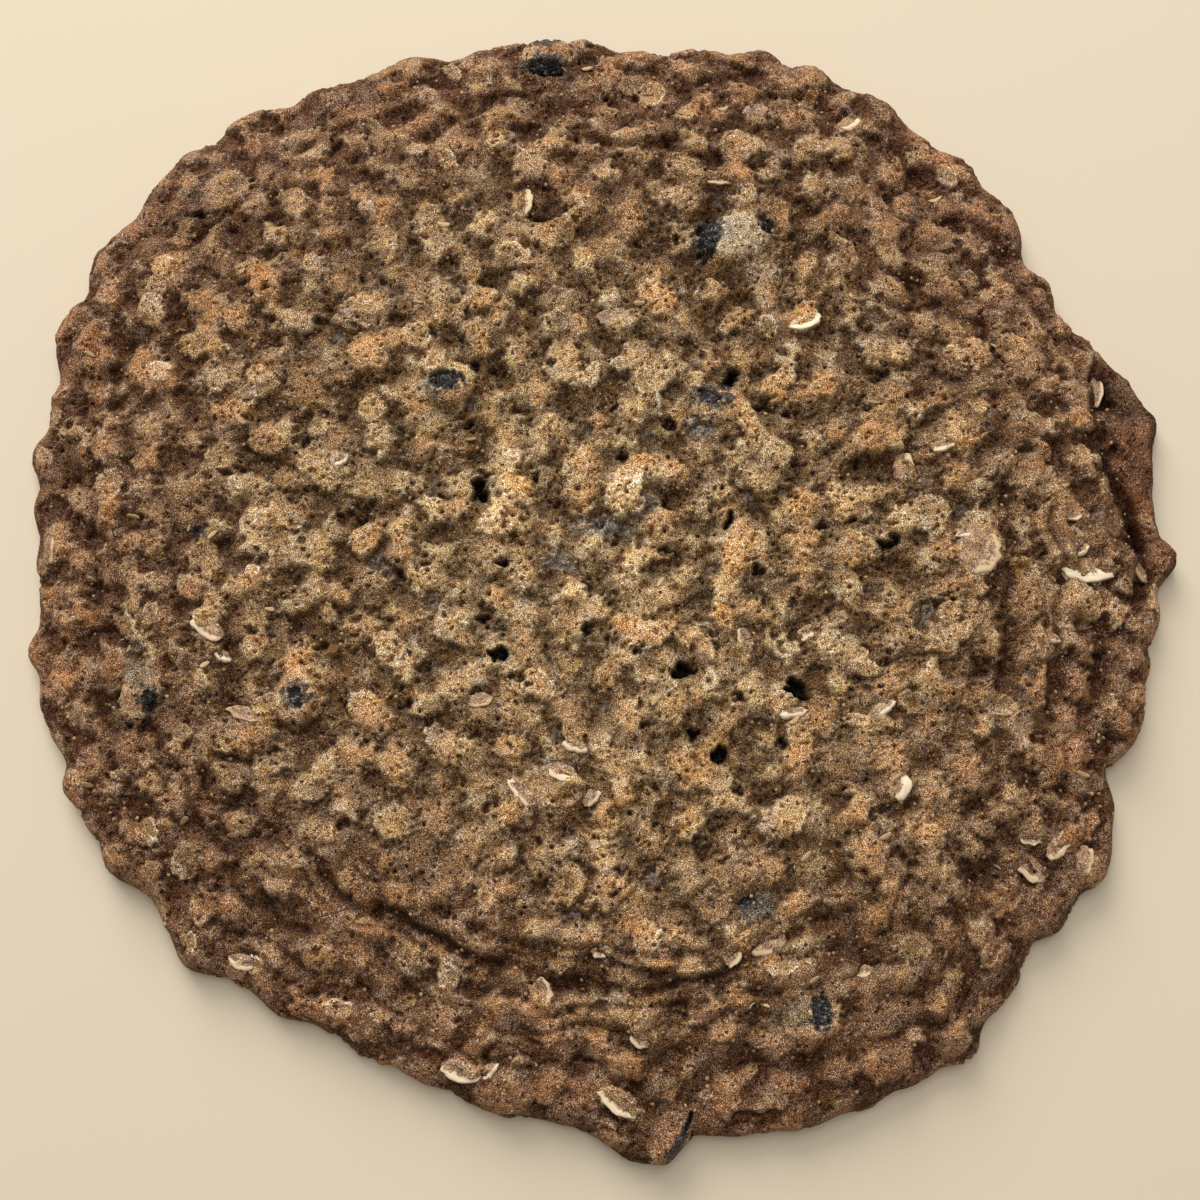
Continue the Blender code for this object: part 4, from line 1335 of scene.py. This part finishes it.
def crust_finish():
    f = Finish("baked_crust")
    edge, rise, cavity, tone = f.mask("edge"), f.mask("rise"), f.mask("cavity"), f.mask("tone")
    shine, pit, pore = f.mask("shine"), f.mask("pit"), f.mask("pore")
    basin, crack, apron = f.mask("basin"), f.mask("crack"), f.mask("apron")
    film, film_pale, oat, oat_rim = f.mask("film"), f.mask("film_pale"), f.mask("oat"), f.mask("oat_rim")
    broad, patch, clot = f.speckle(20.0, 2.0), f.speckle(5.5, 2.0), f.speckle(2.4, 2.0)
    inside = f.between(edge + (broad - 0.5) * 0.30, -0.08, 0.75)

    level = rise + (clot - 0.5) * 0.35
    # Hollows take darker colours and crests lighter ones: partly real browning, partly painted shade in the
    # hollows and painted light on the crests.
    valley = f.mix(inside, colour(101, 67, 41), colour(114, 91, 61))
    flank = f.mix(inside, colour(116, 82, 54), colour(140, 113, 77))
    crest = f.mix(inside, colour(142, 103, 68), colour(178, 145, 98))
    base = f.mix(f.between(level, 0.15, 0.52), valley, flank)
    base = f.mix(f.between(level, 0.46, 0.86), base, crest)
    # Pale tips on the crests of lumps: partly a paler bake, partly a painted highlight.
    tip = f.between(cavity + (clot - 0.5) * 0.4, 0.05, 0.50) * f.between(rise, 0.35, 0.7) * 0.42
    base = f.mix(tip, base, f.mix(inside, colour(178, 150, 110), colour(214, 194, 146)))
    high = f.between(rise, 0.42, 0.75)
    toasted = f.between(patch * 0.7 + tone * 0.5, 0.54, 0.76) * high * 0.6
    base = f.mix(toasted, base, f.mix(inside, colour(142, 93, 54), colour(186, 134, 78)))
    cream = f.between(tone + (clot - 0.5) * 0.4, 0.26, 0.06) * high * 0.5
    base = f.mix(cream, base, f.mix(inside, colour(158, 122, 84), colour(204, 175, 128)))
    dark_apron = f.mix(f.between(level, 0.3, 0.8), colour(72, 42, 26), colour(122, 82, 56))
    base = f.mix(apron * 0.7, base, dark_apron)
    base = f.mix(f.between(oat + (clot - 0.5) * 0.5, 0.15, 0.9) * 0.45, base, colour(200, 166, 120))
    base = f.mix(f.between(oat_rim, 0.15, 0.7) * 0.8, base, colour(222, 200, 160))
    # Painted sheen: glossy floors turn grey as if they reflected the window, as well as having a real coat.
    base = f.mix(shine * 0.7, base, colour(96, 90, 80))
    filmed = f.mix(f.between(film_pale, 0.0, 0.5), colour(34, 32, 32), colour(96, 82, 56))
    filmed = f.mix(f.between(film_pale, 0.5, 1.0), filmed, colour(160, 142, 112))
    base = f.mix(f.between(film + (clot - 0.5) * 0.5, 0.1, 0.8) * 0.9, base, filmed)

    # Painted shade: creases and cracks darker as if shaded.
    depth = (0.72 + 0.28 * f.between(cavity, -0.6, 0.3)) * (0.64 + 0.36 * f.between(crack, -1.0, 0.0))
    # Painted shade in the basins and painted light on the lumps between them, over a random broad tone, a
    # paler middle and a darker apron. Above 1 it lightens the base; below 1 it joins the shade.
    tone_and_basin_shade = (0.86 + 0.26 * f.between(f.speckle(9.0, 3.0), 0.3, 0.7)) * (0.64 + 0.68 * basin)
    tone_and_basin_shade = tone_and_basin_shade * (1 + 0.20 * f.between(edge, 0.72, 0.92)) * (1 - 0.15 * apron)
    # All the painted shade: creases, pores, holes and basins darkened as if shaded.
    shade = depth * (1 - 0.6 * pore) * (1 - 0.95 * pit) * tone_and_basin_shade.at_most(1.0)
    base = f.mix(1.0, base, f.grey(tone_and_basin_shade.at_least(1.0)), "MULTIPLY")
    # Sugar and its painted glints are thicker on rises than in hollows.
    lift = (0.35 + 0.65 * f.between(rise, 0.15, 0.70)) * (1 - 0.6 * apron)
    base, fine, dust = speckled(f, base, 1.0, lift, shade)
    f.feed(f.shader.inputs["Base Color"], base)

    f.feed(f.shader.inputs["Roughness"], 0.72 - shine * 0.30 - film * 0.15 + 0.3 * (dust - 0.5))
    f.shader.inputs["Specular IOR Level"].default_value = 0.05
    f.feed(f.shader.inputs["Coat Weight"], shine * 0.8 + film * 0.10)
    f.shader.inputs["Coat Roughness"].default_value = 0.28
    f.feed(f.shader.inputs["Normal"], f.bump(fine * 0.5 + dust * 0.7, 0.20, 0.9))
    return f.material


CRUST_FINISH = crust_finish()
for piece in CRUST:
    piece.data.materials.append(CRUST_FINISH)
print("nodes in the crust's finish:", len(CRUST_FINISH.node_tree.nodes))

# %% [markdown]
# ## Finish of the underside, oats, raisins and crumbs
#
# The underside is an even brown, darker at its edge and round its bubbles. An oat is cream at its edge
# and tan where dough coats it, with fibres along its length. Raisin skin is nearly black, pale grey where
# sugar dusts the ridges and in painted glints of light, and has a soft shine.

# %% Underside
def underside_finish():
    f = Finish("baked_underside")
    dent, edge = f.mask("dent"), f.mask("edge")
    broad, patch, speck = f.speckle(18.0, 3.0), f.speckle(4.0, 2.0), f.speckle(0.5, 2.0, 0.6)
    base = f.mix(f.between(edge + 0.3 * (broad - 0.5), 0.0, 0.35), colour(88, 52, 30), colour(150, 104, 62))
    base = f.mix(f.between(patch, 0.5, 0.75) * 0.6, base, colour(112, 68, 38))
    base = f.mix(f.between(dent, 0.15, 0.8), base, colour(178, 138, 92))
    ring = f.between(dent, 0.02, 0.12) * (1 - f.between(dent, 0.15, 0.4))
    base = f.mix(ring * 0.6, base, colour(74, 42, 24))
    base = f.mix(1.0, base, f.grey(0.75 + 0.5 * speck), "MULTIPLY")
    f.feed(f.shader.inputs["Base Color"], base)
    f.feed(f.shader.inputs["Roughness"], 0.55 + 0.25 * speck)
    f.feed(f.shader.inputs["Normal"], f.bump(speck + patch * 0.5, 0.12, 0.6))
    return f.material


UNDERSIDE.data.materials.append(underside_finish())


# %% Oat flakes
def oat_finish():
    f = Finish("oat_flake")
    along, aside, bare, pale = f.mask("along"), f.mask("aside"), f.mask("bare"), f.mask("pale")
    stretched = {0: along * 0.0003, 1: aside * 0.0022, 2: 0.0}
    fibre_place = f.add("ShaderNodeCombineXYZ", {}, stretched).outputs[0]
    fibre = f.speckle(0.9, 2.0, 0.5, fibre_place)
    patch, clot = f.speckle(3.0, 2.0), f.speckle(1.2, 2.0)
    coat = f.mix(f.between(clot, 0.35, 0.65), colour(132, 95, 62), colour(176, 138, 96))
    coat, fine, dust = speckled(f, coat, 0.9, 0.6)
    oat = f.mix(f.between(pale, 0.4, 1.0), colour(186, 148, 100), colour(228, 208, 172))
    oat = f.mix(1.0, oat, f.grey(0.62 + 0.5 * fibre + 0.25 * fine), "MULTIPLY")
    shown = f.between(bare + (patch - 0.5) * 0.9 + (dust - 0.5) * 0.6, 0.38, 0.62)
    f.feed(f.shader.inputs["Base Color"], f.mix(shown, coat, oat))
    f.feed(f.shader.inputs["Roughness"], 0.70 - 0.15 * fibre)
    f.feed(f.shader.inputs["Normal"], f.bump(fibre * shown + fine * 0.5 + dust * (1 - shown), 0.16, 0.7))
    return f.material


FLAKE_PIECE.data.materials.append(oat_finish())


# %% Raisin skin
def raisin_finish():
    f = Finish("raisin_skin_finish")
    fold, patch = f.mask("wrinkle"), f.speckle(1.6, 2.0)
    base = f.mix(patch, colour(10, 7, 7), colour(24, 18, 18))
    fine, dust = f.speckle(0.22, 1.0, 0.5), f.speckle(0.7, 2.0, 0.6)
    # Pale grey grains: sugar dust on the ridges, and painted glints of light.
    sugar_and_glints = f.between(fine + (dust - 0.5) * 0.7 - fold * 0.08, 0.58, 0.70) * 0.6
    base = f.mix(sugar_and_glints, base, colour(156, 150, 144))
    crumb = f.between(dust + 0.5 * patch, 0.86, 0.98) * 0.7
    base = f.mix(crumb, base, colour(120, 88, 54))
    f.feed(f.shader.inputs["Base Color"], base)
    f.feed(f.shader.inputs["Roughness"], 0.42 + 0.25 * fine)
    f.shader.inputs["Specular IOR Level"].default_value = 0.22
    f.feed(f.shader.inputs["Normal"], f.bump(fine + dust, 0.14, 0.7))
    return f.material


RAISIN_FINISH = raisin_finish()
for piece in RAISIN_PIECES:
    piece.data.materials.append(RAISIN_FINISH)


# %% Crumbs
def crumb_finish(name, dark, bright):
    f = Finish(name)
    tone, speck, broad = f.mask("tone"), f.speckle(0.3, 2.0), f.speckle(20.0, 2.0)
    base = f.mix(tone * 0.75 + 0.25 * broad, dark, bright)
    base = f.mix(1.0, base, f.grey(0.6 + 0.8 * speck), "MULTIPLY")
    f.feed(f.shader.inputs["Base Color"], base)
    f.shader.inputs["Roughness"].default_value = 0.8
    f.feed(f.shader.inputs["Normal"], f.bump(speck, 0.08, 0.5))
    return f.material


GRAIN_FINISH = crumb_finish("crumb_grains", colour(92, 64, 42), colour(180, 144, 98))
SLIP_FINISH = crumb_finish("oat_slips", colour(130, 96, 62), colour(196, 164, 118))
print("finishes:", [material.name for material in bpy.data.materials])

# %% Scatter crumbs and slips
# Square metres.
CRUST_AREA = 0.0185


def scattered(name, seed, number, smallest, largest, lean, shape, finish):
    piece = in_scene(name, LANDING)
    modifier = piece.modifiers.new("scatter", "NODES")
    modifier.node_group = SCATTER
    values = {
        "Template": shape,
        "Number per square metre": number / CRUST_AREA,
        "Smallest": smallest * MM,
        "Largest": largest * MM,
        "Lean": lean,
        "Seed": seed,
        "Finish": finish,
    }
    for item in SCATTER.interface.items_tree:
        if item.in_out == "INPUT" and item.name in values:
            modifier[item.identifier] = values[item.name]
    bpy.context.view_layer.update()
    graph = bpy.context.evaluated_depsgraph_get()
    mesh = bpy.data.meshes.new_from_object(piece.evaluated_get(graph))
    piece.modifiers.remove(modifier)
    piece.data = mesh
    mesh.name = name
    low, high = np.array(cad_box)
    points = np.clip(corners(mesh), low, high - BOX_MARGIN)
    mesh.vertices.foreach_set("co", points.astype(np.float32).ravel())
    mesh.update()
    print(name, len(mesh.polygons), "faces")
    return piece


CRUMBS = scattered("crumb_grains", 5, 1800, 0.14, 0.36, 0.6, GRAIN, GRAIN_FINISH)
SLIPS = scattered("oat_slips", 6, 50, 0.5, 1.1, 0.7, SLIP, SLIP_FINISH)
for helper in (GRAIN, SLIP):
    bpy.data.objects.remove(helper)
bpy.data.meshes.remove(LANDING)

# %% [markdown]
# ## Tie the pieces to the solids
#
# The crust, underside, flakes and crumbs stand for the one solid of dough. Each raisin stands for its own.

# %% Ride and replace
for piece in (*CRUST, UNDERSIDE, FLAKE_PIECE, CRUMBS, SLIPS):
    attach(piece, "root")
    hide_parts("cookie")
for number, piece in enumerate(RAISIN_PIECES, 1):
    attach(piece, "root")
    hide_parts(f"raisin_{number:02d}")

# %% [markdown]
# ## Floor, light and camera
#
# A pale floor, a large cool window beyond the cookie and a dim room give the soft light that rakes over
# the crust. The camera looks down steeply from the near side, as close as the cookie was seen.

# %% Floor
floor_shape = bmesh.new()
bmesh.ops.create_grid(floor_shape, x_segments=1, y_segments=1, size=1.5)
FLOOR_PIECE = in_scene("floor", as_mesh(floor_shape, "floor"))
pale = Finish("pale_floor")
pale.shader.inputs["Base Color"].default_value = colour(206, 190, 164)
pale.shader.inputs["Roughness"].default_value = 0.9
FLOOR_PIECE.data.materials.append(pale.material)


# %% Light
def soft_light(name, place, aim, size, power, tint):
    lamp = bpy.data.lights.new(name, "AREA")
    lamp.shape = "SQUARE"
    lamp.size = size
    lamp.energy = power
    lamp.color = tint
    holder = in_scene(name, lamp)
    holder.location = place
    holder.rotation_euler = (Vector(place) - Vector(aim)).to_track_quat("Z", "Y").to_euler()


soft_light("window", (-0.30, 0.85, 0.62), (0, 0, 0), 0.7, 13.2, (0.96, 0.98, 1.0))
soft_light("overhead", (0.0, 0.25, 1.1), (0, 0, 0), 0.9, 8.0, (0.95, 0.97, 1.0))
world = bpy.data.worlds.new("room")
world.use_nodes = True
world.node_tree.nodes["Background"].inputs["Color"].default_value = (1.0, 0.96, 0.9, 1.0)
world.node_tree.nodes["Background"].inputs["Strength"].default_value = 0.25
bpy.context.scene.world = world
bpy.context.scene.view_settings.view_transform = "Standard"

# %% Camera
lens = bpy.data.cameras.new("camera")
lens.sensor_width = 36.0
lens.lens = 36.0 * VIEW_FOCAL / (2 * VIEW_MIDDLE)
lens.clip_start = 0.01
camera = in_scene("camera", lens)
aim = Vector((CENTRING[0], VIEW_AIM + CENTRING[1], 0)) * MM
away = Vector((0, -math.cos(VIEW_TILT), math.sin(VIEW_TILT))) * VIEW_DISTANCE * MM
camera.location = aim + away
camera.rotation_euler = (math.pi / 2 - VIEW_TILT, 0, 0)
bpy.context.scene.camera = camera
print("the camera looks down at", round(math.degrees(VIEW_TILT)), "degrees")
